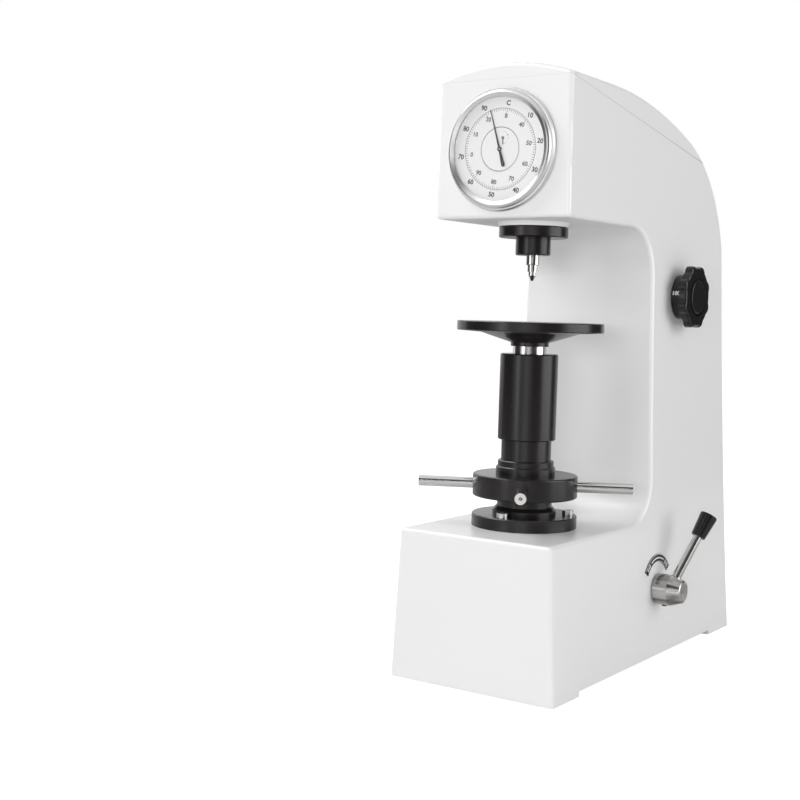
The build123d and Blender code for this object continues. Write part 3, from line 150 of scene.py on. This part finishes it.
# Names a finished piece, bakes its place into its mesh and lets it ride on its body.
def finishPiece(obj, name, body, finish):
    activate(obj)
    obj.name = name
    obj.data.name = name
    bpy.ops.object.transform_apply(location=True, rotation=True, scale=True)
    dress(obj, finish, smoothing["print"])
    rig.ride(obj, body)
    return obj


# Joins several objects into the first.
def joinPieces(parts):
    bpy.context.view_layer.update()
    deselectAll()
    for part in parts:
        part.select_set(True)
    bpy.context.view_layer.objects.active = parts[0]
    if len(parts) > 1:
        bpy.ops.object.join()
    return bpy.context.object


# An object and its copies, each with a mesh of its own.
def copies(obj, count):
    twins = [obj]
    for _ in range(count - 1):
        twin = obj.copy()
        twin.data = obj.data.copy()
        bpy.context.collection.objects.link(twin)
        twins.append(twin)
    return twins


# Selects a whole mesh in edit mode and turns its faces outwards, then leaves edit mode.
def closeMesh():
    bpy.ops.mesh.select_all(action="SELECT")
    bpy.ops.mesh.normals_make_consistent(inside=False)
    bpy.ops.object.mode_set(mode="OBJECT")


# The middle of a CAD node's box.
def middle(name):
    low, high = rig.box(name)
    return (Vector(low) + Vector(high)) / 2


# An empty node material, with its nodes and links.
def newMaterial(name):
    material = bpy.data.materials.new(name)
    material.use_nodes = True
    return material, material.node_tree.nodes, material.node_tree.links


# A value spread from one range over another.
def remap(tree, links, value, old, new):
    node = tree.new("ShaderNodeMapRange")
    node.inputs["From Min"].default_value, node.inputs["From Max"].default_value = old
    node.inputs["To Min"].default_value, node.inputs["To Max"].default_value = new
    links.new(value, node.inputs["Value"])
    return node.outputs["Result"]


# The larger of two values.
def larger(tree, links, first, second):
    node = tree.new("ShaderNodeMath")
    node.operation = "MAXIMUM"
    links.new(first, node.inputs[0])
    links.new(second, node.inputs[1])
    return node.outputs["Value"]


# A surface whose colour, gloss and height vary slightly over object coordinates.
def grainMaterial(
    name, colour, roughness, grain, bump, spread, metallic=0.0, shade=0.04,
    stretch=(1, 1, 1), coat=0.0, specular=0.5, contrast=1.0,
):
    fine = {"detail": 4.0, "bumpHeight": 0.0001}
    material, tree, links = newMaterial(name)
    shader = tree["Principled BSDF"]
    shader.inputs["Metallic"].default_value = metallic
    shader.inputs["Coat Weight"].default_value = coat
    shader.inputs["Specular IOR Level"].default_value = specular
    place = tree.new("ShaderNodeTexCoord")
    mapping = tree.new("ShaderNodeMapping")
    mapping.inputs["Scale"].default_value = stretch
    noise = tree.new("ShaderNodeTexNoise")
    noise.inputs["Scale"].default_value = grain
    noise.inputs["Detail"].default_value = fine["detail"]
    links.new(place.outputs["Object"], mapping.inputs["Vector"])
    links.new(mapping.outputs["Vector"], noise.inputs["Vector"])
    pattern = noise.outputs["Fac"]
    gloss = remap(tree, links, pattern, (0, 1), (roughness - spread, roughness + spread))
    links.new(gloss, shader.inputs["Roughness"])
    tint = tree.new("ShaderNodeMix")
    tint.data_type = "RGBA"
    tint.inputs["A"].default_value = (*[part * (1 - shade) for part in colour], 1)
    tint.inputs["B"].default_value = (*[min(1, part * (1 + shade)) for part in colour], 1)
    # A high contrast with a large shade turns the noise into bold light and dark bands; on the hub's steel these are
    # painted reflection.
    steep = remap(tree, links, pattern, (0.5 - 0.5 / contrast, 0.5 + 0.5 / contrast), (0, 1))
    links.new(steep, tint.inputs["Factor"])
    links.new(tint.outputs["Result"], shader.inputs["Base Color"])
    relief = tree.new("ShaderNodeBump")
    relief.inputs["Strength"].default_value = bump
    relief.inputs["Distance"].default_value = fine["bumpHeight"]
    links.new(pattern, relief.inputs["Height"])
    links.new(relief.outputs["Normal"], shader.inputs["Normal"])
    return material


# Clear glass that lets light through to the dial.
def glassMaterial(name):
    glass = {"ior": 1.45, "smear": 40.0, "roughness": 0.004}
    material, tree, links = newMaterial(name)
    shader = tree["Principled BSDF"]
    shader.inputs["Base Color"].default_value = (1, 1, 1, 1)
    shader.inputs["Transmission Weight"].default_value = 1.0
    shader.inputs["IOR"].default_value = glass["ior"]
    place = tree.new("ShaderNodeTexCoord")
    noise = tree.new("ShaderNodeTexNoise")
    noise.inputs["Scale"].default_value = glass["smear"]
    links.new(place.outputs["Object"], noise.inputs["Vector"])
    smear = remap(tree, links, noise.outputs["Fac"], (0, 1), (0, glass["roughness"]))
    links.new(smear, shader.inputs["Roughness"])
    clear = tree.new("ShaderNodeBsdfTransparent")
    rays = tree.new("ShaderNodeLightPath").outputs
    straight = larger(tree, links, rays["Is Shadow Ray"], rays["Is Diffuse Ray"])  # so no light counts twice
    mix = tree.new("ShaderNodeMixShader")
    links.new(straight, mix.inputs["Fac"])
    links.new(shader.outputs["BSDF"], mix.inputs[1])
    links.new(clear.outputs["BSDF"], mix.inputs[2])
    links.new(mix.outputs["Shader"], tree["Material Output"].inputs["Surface"])
    return material


# Every finish: colour, roughness and its spread, grain in waves a metre, bump, and what departs from plain.
finishes = {
    "enamel": dict(
        colour=(0.80, 0.80, 0.80), roughness=0.34, grain=420.0, bump=0.08, spread=0.05,
        coat=0.2, shade=0.01,
    ),
    "coverPaint": dict(
        colour=(0.76, 0.76, 0.76), roughness=0.38, grain=420.0, bump=0.12, spread=0.05, shade=0.015,
    ),
    "blackSteel": dict(
        colour=(0.012, 0.010, 0.010), roughness=0.24, grain=60.0, bump=0.05, spread=0.04,
        stretch=(1, 1, 30), shade=0.12, specular=0.36,
    ),
    "turnedSteel": dict(
        colour=(0.62, 0.61, 0.60), metallic=1.0, roughness=0.17, grain=300.0, bump=0.04, spread=0.03,
    ),
    # Hub and shaft steel: stretched noise bands the colour light and dark along the axis, painted reflection streaks.
    "steelWithPaintedReflectionBands": dict(
        colour=(0.45, 0.44, 0.43), metallic=1.0, roughness=0.22, grain=120.0, bump=0.03, spread=0.04,
        stretch=(0.03, 1, 1), shade=0.55, contrast=2.4,
    ),
    "groundSteel": dict(
        colour=(0.50, 0.50, 0.50), metallic=1.0, roughness=0.32, grain=200.0, bump=0.15, spread=0.06,
        shade=0.08,
    ),
    "screwSteel": dict(
        colour=(0.55, 0.55, 0.56), metallic=1.0, roughness=0.24, grain=300.0, bump=0.15, spread=0.06,
        shade=0.06,
    ),
    "chrome": dict(
        colour=(0.66, 0.66, 0.67), metallic=1.0, roughness=0.30, grain=500.0, bump=0.04, spread=0.03,
        shade=0.02,
    ),
    "leverIron": dict(
        colour=(0.20, 0.24, 0.25), roughness=0.50, grain=260.0, bump=0.50, spread=0.08, shade=0.12,
    ),
    "weightIron": dict(
        colour=(0.10, 0.10, 0.105), metallic=0.8, roughness=0.45, grain=160.0, bump=0.40, spread=0.08,
        shade=0.15,
    ),
    "bronze": dict(
        colour=(0.52, 0.33, 0.14), metallic=1.0, roughness=0.34, grain=220.0, bump=0.20, spread=0.06,
        shade=0.08,
    ),
    "blackPlastic": dict(
        colour=(0.010, 0.009, 0.010), roughness=0.22, grain=900.0, bump=0.12, spread=0.05,
        shade=0.10, specular=0.35,
    ),
    "plateBlack": dict(
        colour=(0.016, 0.015, 0.016), roughness=0.35, grain=300.0, bump=0.10, spread=0.05,
        shade=0.10, specular=0.25,
    ),
    "dialWhite": dict(
        colour=(0.76, 0.76, 0.76), roughness=0.45, grain=500.0, bump=0.05, spread=0.04,
        shade=0.01, specular=0.2,
    ),
    "clockBrass": dict(
        colour=(0.60, 0.43, 0.18), metallic=1.0, roughness=0.30, grain=240.0, bump=0.20, spread=0.06,
        shade=0.08,
    ),
    "housingSteel": dict(
        colour=(0.58, 0.58, 0.59), metallic=1.0, roughness=0.35, grain=240.0, bump=0.15, spread=0.06,
        shade=0.06,
    ),
    "handBlack": dict(
        colour=(0.008, 0.008, 0.009), roughness=0.35, grain=300.0, bump=0.05, spread=0.04,
        shade=0.10, specular=0.2,
    ),
    "inkBlack": dict(
        colour=(0.012, 0.012, 0.013), roughness=0.50, grain=600.0, bump=0.05, spread=0.05,
        shade=0.15, specular=0.2,
    ),
    "inkGrey": dict(
        colour=(0.10, 0.10, 0.105), roughness=0.50, grain=600.0, bump=0.05, spread=0.05,
        shade=0.10, specular=0.2,
    ),
    "inkWhite": dict(
        colour=(0.86, 0.86, 0.85), roughness=0.50, grain=600.0, bump=0.05, spread=0.05, shade=0.03,
    ),
    "seamGrey": dict(
        colour=(0.34, 0.34, 0.35), roughness=0.60, grain=300.0, bump=0.10, spread=0.05, shade=0.08,
    ),
    "flagBlack": dict(
        colour=(0.02, 0.02, 0.02), roughness=0.90, grain=20.0, bump=0.0, spread=0.05, shade=0.05,
    ),
}

# The CAD nodes that wear each finish.
wornBy = {
    "enamel": ["frame_casting", "top_cover"],
    "coverPaint": ["rear_cover"],
    "blackSteel": [
        "handwheel", "work_table", "guard_outer", "guard_inner", "spindle_cap", "screw_flange",
    ],
    "turnedSteel": ["handwheel_rods", "lever_rod", "spindle", "indenter_holder", "elevating_screw"],
    "steelWithPaintedReflectionBands": ["lever_hub", "lever_shaft"],
    "groundSteel": [
        "guide_key", "lower_race", "bearing_balls", "upper_race", "lever_knives", "lift_rod",
        "cam_roller", "selector_shaft", "catch_frame", "catch_follower", "load_cam", "selector_cam",
        "weight_hanger", "dashpot_piston", "dashpot_cylinder", "dashpot_lid",
    ],
    "screwSteel": ["rear_cover_screws", "flange_screws", "rod_guide", "catch_guide"],
    "chrome": ["bezel"],
    "leverIron": ["main_lever", "fulcrum_bracket"],
    "weightIron": ["weight_upper", "weight_middle", "weight_lower"],
    "bronze": ["spindle_bush", "lever_shaft_bushes", "selector_bushes"],
    "blackPlastic": ["lever_grip", "selector_knob", "knob_cap"],
    "plateBlack": ["arc_plate"],
    "dialWhite": ["dial_plate", "centre_plate"],
    "clockBrass": ["movement_plate", "counter_wheel", "pointer_arbor"],
    "housingSteel": ["dial_housing"],
    "handBlack": ["pointer", "counter_pointer", "indenter_tip"],
    "crystalGlass": ["crystal"],
}

materials = {name: grainMaterial(name, **look) for name, look in finishes.items()}
materials["crystalGlass"] = glassMaterial("crystalGlass")
print("stage: materials made")

for finish, names in wornBy.items():
    for name in names:
        dress(nodes[name], finish, smoothing["solids"])
print("stage: solids painted")

# Dial print: a scale of ticks on a circle, numbers outside and inside it, all turned with the bezel.
dial = {
    "divisions": 100,
    "tickRadius": 0.0405,
    "tickLengths": (0.0027, 0.0034, 0.0042),  # plain, every fifth, every tenth
    "tickWidth": 0.00045,
    "numbers": {
        "name": "dialNumbers", "radius": 0.0457, "height": 0.0067, "finish": "inkBlack",
        "labels": ["C", "10", "20", "30", "40", "50", "60", "70", "80", "90"],
    },
    "innerNumbers": {
        "name": "dialInnerNumbers", "radius": 0.0330, "height": 0.0060, "finish": "inkGrey",
        "labels": ["B", "40", "50", "60", "70", "80", "90", "0", "10", "20"],
    },
    "boldness": 0.00020,
    "circleWidth": 0.0004,
    "circleSegments": (96, 6),
    "inkDepth": 0.00006,
    "turned": 10.5,  # degrees clockwise from upright
}
dialCentre = middle("bezel")
dialCentre.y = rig.box("dial_plate")[0][1]
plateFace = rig.box("centre_plate")[0][1]


# A point at an angle clockwise from the top, as the operator sees it, and proud of the face by a level.
def roundFace(centre, angle, radius, level=0.0):
    turned = radians(angle)
    return centre + Vector((radius * sin(turned), -level, radius * cos(turned)))


# A flat word as a mesh, its middle at the origin.
def addWord(text, height, depth, boldness):
    bpy.ops.object.text_add()
    letters = bpy.context.object.data
    letters.body = text
    letters.size = height
    letters.align_x = "CENTER"
    letters.align_y = "CENTER"
    letters.extrude = depth / 2
    letters.offset = boldness
    letters.resolution_u = 4
    bpy.ops.object.convert(target="MESH")
    return bpy.context.object


# A flat ring of ink that faces the operator.
def addRing(radius, place):
    width = dial["circleWidth"]
    around, across = dial["circleSegments"]
    bpy.ops.mesh.primitive_torus_add(
        major_radius=radius, minor_radius=width / 2, major_segments=around, minor_segments=across,
        location=place, rotation=(pi / 2, 0, 0),
    )
    ring = bpy.context.object
    ring.scale = (1, 1, dial["inkDepth"] / width)
    return ring


# The ticks, all copies of one bar, and the circle that carries them.
def buildScale():
    plain, fifth, tenth = dial["tickLengths"]
    bpy.ops.mesh.primitive_cube_add(size=1)
    ticks = copies(bpy.context.object, dial["divisions"])
    for step, tick in enumerate(ticks):
        length = tenth if step % 10 == 0 else fifth if step % 5 == 0 else plain
        angle = dial["turned"] + 360 / dial["divisions"] * step
        tick.scale = (dial["tickWidth"], dial["inkDepth"], length)
        tick.rotation_euler = (0, radians(angle), 0)
        tick.location = roundFace(dialCentre, angle, dial["tickRadius"] - length / 2, dial["inkDepth"] / 2)
    circle = addRing(dial["tickRadius"], dialCentre)
    return finishPiece(joinPieces(ticks + [circle]), "dialScale", "bezel", "inkGrey")


# Upright numbers round the dial, all turned with it.
def buildNumbers(ring):
    lean = Matrix.Rotation(radians(dial["turned"]), 4, "Y")
    words = []
    for step, label in enumerate(ring["labels"]):
        angle = dial["turned"] + 360 / len(ring["labels"]) * step
        place = roundFace(dialCentre, angle, ring["radius"], dial["inkDepth"] / 2)
        word = addWord(label, ring["height"], dial["inkDepth"], dial["boldness"])
        word.matrix_world = Matrix.Translation(place) @ lean @ upright
        words.append(word)
    return finishPiece(joinPieces(words), ring["name"], "bezel", ring["finish"])


# The small turns counter's dotted arc with its two marks, and the circle round the centre plate.
def buildCounterPrint():
    counter = {
        "mark": 0.00055,
        "dot": 0.00025,
        "reach": 0.0061,
        "markAngles": [178, 65],
        "dotAngles": list(range(5, 175, 12)),
        "vertices": 20,
    }
    centre = middle("counter_wheel")
    centre.y = plateFace
    spots = [(angle, counter["mark"]) for angle in counter["markAngles"]]
    spots += [(angle, counter["dot"]) for angle in counter["dotAngles"]]
    bpy.ops.mesh.primitive_cylinder_add(vertices=counter["vertices"], radius=1, depth=1)
    dots = copies(bpy.context.object, len(spots))
    for dot, (angle, size) in zip(dots, spots):
        dot.scale = (size, size, dial["inkDepth"])
        dot.rotation_euler = (pi / 2, 0, 0)
        dot.location = roundFace(centre, angle, counter["reach"], dial["inkDepth"] / 2)
    low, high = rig.box("centre_plate")
    rim = Vector((dialCentre.x, plateFace, dialCentre.z))
    circle = addRing((high[0] - low[0]) / 2 - dial["circleWidth"], rim)
    return finishPiece(joinPieces(dots + [circle]), "counterPrint", "frame", "inkBlack")


buildScale()
buildNumbers(dial["numbers"])
buildNumbers(dial["innerNumbers"])
buildCounterPrint()
print("stage: dial printed")

# Seam between the casting and its cover: a fine dark line, pushed out by a hair.
seam = {
    "gap": 0.0005,
    "proud": 0.00012,
    "lift": 0.00003,  # clear of the cover's lowest edge
    "merge": 0.00001,
    "frontBand": 0.003,  # how far back the front rim is looked for
    "lowBand": 0.0005,  # how far up the rear end is looked for
}


# A strip cut from the cover's skin between two planes along its lower edge.
def buildSeam():
    activate(nodes["top_cover"])
    bpy.ops.object.duplicate()
    strip = bpy.context.object
    points = [vertex.co.copy() for vertex in strip.data.vertices]
    low = min(point.z for point in points)
    front = min(point.y for point in points)
    frontLow = min(point.z for point in points if point.y < front + seam["frontBand"])
    rearEnd = max((point for point in points if point.z < low + seam["lowBand"]), key=lambda point: point.y)
    slope = Vector((0, frontLow - rearEnd.z, rearEnd.y - front)).normalized()
    anchor = Vector((0, front, frontLow))
    bpy.ops.object.mode_set(mode="EDIT")
    bpy.ops.mesh.select_all(action="SELECT")
    bpy.ops.mesh.remove_doubles(threshold=seam["merge"])
    for shift, inner in ((0.0, True), (seam["gap"], False)):
        bpy.ops.mesh.select_all(action="SELECT")
        bpy.ops.mesh.bisect(
            plane_co=anchor + slope * (shift + seam["lift"]), plane_no=slope,
            clear_inner=inner, clear_outer=not inner,
        )
    closeMesh()
    thick = strip.modifiers.new("proud", "SOLIDIFY")
    thick.thickness = seam["proud"]
    thick.offset = 1
    bpy.ops.object.modifier_apply(modifier=thick.name)
    return finishPiece(strip, "coverSeam", "frame", "seamGrey")


buildSeam()
print("stage: seam cut")

# Direction plate: two light edges, a curved double arrow and three small bars at each end of it.
# Angles are in degrees from straight up.
plate = {
    "inner": 0.030,
    "outer": 0.0385,
    "edge": 0.0004,
    "depth": 0.00015,
    "span": 53.5,  # half the edges' sweep
    "arrow": 24.0,  # half the arrow's sweep
    "band": 0.0014,
    "headSize": 0.0016,
    "headGap": 2,
    "barWidths": (0.5, 0.34, 0.5),  # shares of the plate's width
    "barGap": 12,
    "barStep": 5.5,
    "barHalf": 1.3,
    "arcSteps": 40,
    "barSteps": 3,
}


# Origin on the load shaft's axis at the plate's face, X to the back, Z out of the face.
def plateFrame(name):
    sideways, heightWeight = 0.9, 0.0002  # faces to the right, the outermost first and then the lowest
    faces = [face for face in nodes[name].data.polygons if face.normal.x > sideways]
    face = max(faces, key=lambda face: face.center.x - heightWeight * abs(face.center.z))
    out = face.normal.copy()
    back = Vector((0, 1, 0))
    up = out.cross(back).normalized()
    pivot = Vector((0, middle("cam_roller").y, middle("lever_shaft").z))
    origin = pivot + Vector(((face.center - pivot).dot(out) / out.x, 0, 0))
    return Matrix((
        (back.x, up.x, out.x, origin.x),
        (back.y, up.y, out.y, origin.y),
        (back.z, up.z, out.z, origin.z),
        (0, 0, 0, 1),
    ))


# A flat band spun round the frame's Z from start to end.
def addArc(place, radius, width, start, end, steps):
    depth = plate["depth"]
    bpy.ops.mesh.primitive_plane_add(size=1)
    band = bpy.context.object
    band.scale = (width, depth, 1)
    bpy.ops.object.transform_apply(location=False, rotation=False, scale=True)
    band.rotation_euler = (pi / 2, 0, 0)
    bpy.ops.object.transform_apply(location=False, rotation=True, scale=False)
    bpy.ops.object.mode_set(mode="EDIT")
    bpy.ops.mesh.select_all(action="SELECT")
    bpy.ops.transform.translate(value=(radius, 0, depth / 2))
    bpy.ops.mesh.spin(steps=steps, angle=radians(end - start), center=(0, 0, 0), axis=(0, 0, 1))
    closeMesh()
    band.matrix_world = place @ Matrix.Rotation(radians(90 - start), 4, "Z")  # the spin runs clockwise
    return band


# A small triangle on the arrow's middle line that points along it.
def addArrowHead(place, radius, angle):
    bpy.ops.mesh.primitive_cylinder_add(vertices=3, radius=plate["headSize"], depth=plate["depth"])
    head = bpy.context.object
    swing = Matrix.Rotation(radians(90 - angle), 4, "Z")
    shift = Matrix.Translation((radius, 0, plate["depth"] / 2))
    flip = Matrix.Rotation(pi if angle < 0 else 0, 4, "Z")
    head.matrix_world = place @ swing @ shift @ flip
    return head


# The white print on the black arc plate.
def buildDirectionPrint():
    place = plateFrame("arc_plate")
    span, arrow, steps = plate["span"], plate["arrow"], plate["arcSteps"]
    centre = (plate["inner"] + plate["outer"]) / 2
    parts = [
        addArc(place, radius, plate["edge"], -span, span, steps)
        for radius in (plate["inner"] + plate["edge"], plate["outer"] - plate["edge"])
    ]
    parts.append(addArc(place, centre, plate["band"], -arrow, arrow, steps))
    for hand in (-1, 1):
        parts.append(addArrowHead(place, centre, hand * (arrow + plate["headGap"])))
        for row, share in enumerate(plate["barWidths"]):
            angle = hand * (arrow + plate["barGap"] + plate["barStep"] * row)
            width = (plate["outer"] - plate["inner"]) * share
            half = plate["barHalf"]
            parts.append(addArc(place, centre, width, angle - half, angle + half, plate["barSteps"]))
    return finishPiece(joinPieces(parts), "directionPrint", "frame", "inkWhite")


buildDirectionPrint()
print("stage: direction plate printed")

# Force selector's barrel: one plain number for each force.
barrel = {
    "labels": ("100", "150", "60"),
    "radius": 0.025,
    "along": 0.00572,
    "height": 0.0064,
    "depth": 0.0003,
    "boldness": 0.00012,
    "front": 8.0,  # degrees from the number at the front to the operator's side
}


# Plain numbers round the knob's barrel.
def buildKnobPrint():
    shaft = middle("selector_shaft")
    place = Vector((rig.box("selector_knob")[0][0] + barrel["along"], shaft.y, shaft.z))
    outwards = Matrix.Translation((0, -barrel["radius"], 0))
    words = []
    for step, label in enumerate(barrel["labels"]):
        angle = barrel["front"] + 360 / len(barrel["labels"]) * step
        word = addWord(label, barrel["height"], barrel["depth"], barrel["boldness"])
        swing = Matrix.Rotation(radians(-angle), 4, "X")
        word.matrix_world = Matrix.Translation(place) @ swing @ outwards @ upright
        words.append(word)
    return finishPiece(joinPieces(words), "knobNumbers", "selector", "inkWhite")


# Set screw under the load lever's hub, with a round socket.
setScrew = {
    "radius": 0.0028,
    "length": 0.003,
    "proud": 0.0012,
    "along": 0.008,
    "socket": 0.0013,
    "vertices": 32,
}


# The black socket screw that locks the hub to its shaft.
def buildHubScrew():
    downwards = -0.9
    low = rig.box("lever_hub")[0]
    bpy.ops.mesh.primitive_cylinder_add(
        vertices=setScrew["vertices"], radius=setScrew["radius"], depth=setScrew["length"],
        location=(
            low[0] + setScrew["along"],
            middle("cam_roller").y,
            low[2] + setScrew["length"] / 2 - setScrew["proud"],
        ),
    )
    body = bpy.context.object
    bpy.ops.object.mode_set(mode="EDIT")
    bpy.ops.mesh.select_all(action="DESELECT")
    mesh = bmesh.from_edit_mesh(body.data)
    for face in mesh.faces:
        face.select_set(face.normal.z < downwards)
    bmesh.update_edit_mesh(body.data)
    bpy.ops.mesh.inset(thickness=setScrew["radius"] - setScrew["socket"], depth=0)
    bpy.ops.mesh.extrude_region_move(TRANSFORM_OT_translate={"value": (0, 0, setScrew["proud"])})
    closeMesh()
    return finishPiece(body, "hubScrew", "load_lever", "blackPlastic")


buildKnobPrint()
buildHubScrew()
print("stage: knob print and hub screw made")

# Studio: a white floor and backdrop, black flags that only gloss sees, soft lamps and the camera.
studio = {
    "floor": 12.0,
    "floorPlace": (0, 2, 0),
    "floorColour": (0.70, 0.70, 0.70, 1),
    "floorRoughness": 0.9,
    "lift": 0.80,  # adds to the floor for the camera alone
    "ambient": 0.30,
    "white": (1, 1, 1, 1),
}
flagStand = {"centre": (0.0, 0.1), "reach": 1.6, "low": 0.05, "high": 2.4}
flags = {
    "cameraFlag": {"azimuth": -52, "width": 2.6},
    "leftFlag": {"azimuth": -150, "width": 1.6},
    "backRightFlag": {"azimuth": 62, "width": 1.1},
}
lamps = {
    "keyLamp": {"place": (-1.1, -0.4, 1.7), "target": (0, 0.1, 0.3), "sides": (1.2, 1.2), "power": 21},
    "lowLamp": {"place": (0.9, -2.2, 0.55), "target": (0, 0.1, 0.3), "sides": (1.0, 0.6), "power": 22},
    "leftStrip": {
        "place": (-0.45, -1.75, 0.65), "target": (0, 0.1, 0.35), "sides": (0.42, 1.3), "power": 3.8,
    },
    "sideLamp": {"place": (-1.7, 0.2, 1.3), "target": (0, 0.1, 0.3), "sides": (1.6, 1.2), "power": 9},
    "rightStrip": {
        "place": (1.75, 0.62, 0.75), "target": (0, 0.1, 0.35), "sides": (1.5, 1.7), "power": 18.5,
    },
}
eye = {
    "place": (0.6902, -1.1706, 0.3812),
    "yaw": 34.413,
    "pitch": -3.821,
    "roll": 1.603,
    "focalPixels": 1346.7,
    "framePixels": 800,
    "sensorWidth": 36,
    "farthest": 50,
}


# A white floor that keeps the object's shadow and looks white to the camera.
def buildFloor():
    bpy.ops.mesh.primitive_plane_add(size=studio["floor"], location=studio["floorPlace"])
    floor = bpy.context.object
    floor.name = "stageFloor"
    material, tree, links = newMaterial("stagePaper")
    shader = tree["Principled BSDF"]
    shader.inputs["Base Color"].default_value = studio["floorColour"]
    shader.inputs["Roughness"].default_value = studio["floorRoughness"]
    shader.inputs["Emission Color"].default_value = studio["white"]
    rays = tree.new("ShaderNodeLightPath")
    lift = tree.new("ShaderNodeMath")
    lift.operation = "MULTIPLY"
    lift.inputs[1].default_value = studio["lift"]
    links.new(rays.outputs["Is Camera Ray"], lift.inputs[0])
    links.new(lift.outputs["Value"], shader.inputs["Emission Strength"])
    floor.data.materials.append(material)
    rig.stage(floor)


# Soft light all round, and plain white wherever the camera, gloss or glass looks past the object.
def buildWorld():
    world = bpy.data.worlds.new("studio")
    bpy.context.scene.world = world
    world.use_nodes = True
    tree = world.node_tree.nodes
    links = world.node_tree.links
    soft = tree["Background"]
    soft.inputs["Color"].default_value = studio["white"]
    soft.inputs["Strength"].default_value = studio["ambient"]
    backdrop = tree.new("ShaderNodeBackground")
    backdrop.inputs["Color"].default_value = studio["white"]
    backdrop.inputs["Strength"].default_value = 1.0
    rays = tree.new("ShaderNodeLightPath").outputs
    seen = larger(tree, links, rays["Is Camera Ray"], rays["Is Glossy Ray"])
    seen = larger(tree, links, seen, rays["Is Transmission Ray"])
    mix = tree.new("ShaderNodeMixShader")
    links.new(seen, mix.inputs["Fac"])
    links.new(soft.outputs["Background"], mix.inputs[1])
    links.new(backdrop.outputs["Background"], mix.inputs[2])
    links.new(mix.outputs["Shader"], tree["World Output"].inputs["Surface"])


# A black flag that only polished surfaces see, stood round the object by azimuth.
def addFlag(name, azimuth, width):
    turned = radians(azimuth)
    place = (
        flagStand["centre"][0] + flagStand["reach"] * cos(turned),
        flagStand["centre"][1] + flagStand["reach"] * sin(turned),
        (flagStand["low"] + flagStand["high"]) / 2,
    )
    bpy.ops.mesh.primitive_plane_add(size=1, location=place, rotation=(pi / 2, 0, turned + pi / 2))
    flag = bpy.context.object
    flag.name = name
    flag.scale = (width, flagStand["high"] - flagStand["low"], 1)
    flag.visible_camera = False
    flag.visible_diffuse = False
    flag.visible_shadow = False
    flag.visible_transmission = False
    flag.data.materials.append(materials["flagBlack"])
    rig.stage(flag)


# A soft square lamp that looks at a point.
def addLamp(name, place, target, sides, power):
    bpy.ops.object.light_add(type="AREA", location=place)
    lamp = bpy.context.object
    lamp.name = name
    lamp.data.shape = "RECTANGLE"
    lamp.data.size, lamp.data.size_y = sides
    lamp.data.energy = power
    aim = Vector(target) - Vector(place)
    lamp.rotation_euler = aim.to_track_quat("-Z", "Y").to_euler()


# The photograph's viewpoint: position, aim and lens, for a square frame.
def placeCamera():
    bpy.ops.object.camera_add(location=eye["place"])
    camera = bpy.context.object
    level = Euler((pi / 2 + radians(eye["pitch"]), 0, radians(eye["yaw"]))).to_matrix()
    camera.rotation_euler = (level @ Matrix.Rotation(radians(eye["roll"]), 3, "Z")).to_euler()
    camera.data.sensor_width = eye["sensorWidth"]
    camera.data.lens = eye["sensorWidth"] * eye["focalPixels"] / eye["framePixels"]
    camera.data.clip_end = eye["farthest"]
    bpy.context.scene.camera = camera


buildFloor()
buildWorld()
for name, flag in flags.items():
    addFlag(name, **flag)
for name, lamp in lamps.items():
    addLamp(name, **lamp)
placeCamera()
bpy.context.scene.view_settings.view_transform = "Standard"
print("stage: lamps and camera set")

lowest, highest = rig.bounds()
with open(sizeFile) as handle:
    sizes = json.load(handle)
sizes["finished"] = [list(lowest), list(highest)]
with open(sizeFile, "w") as handle:
    json.dump(sizes, handle)
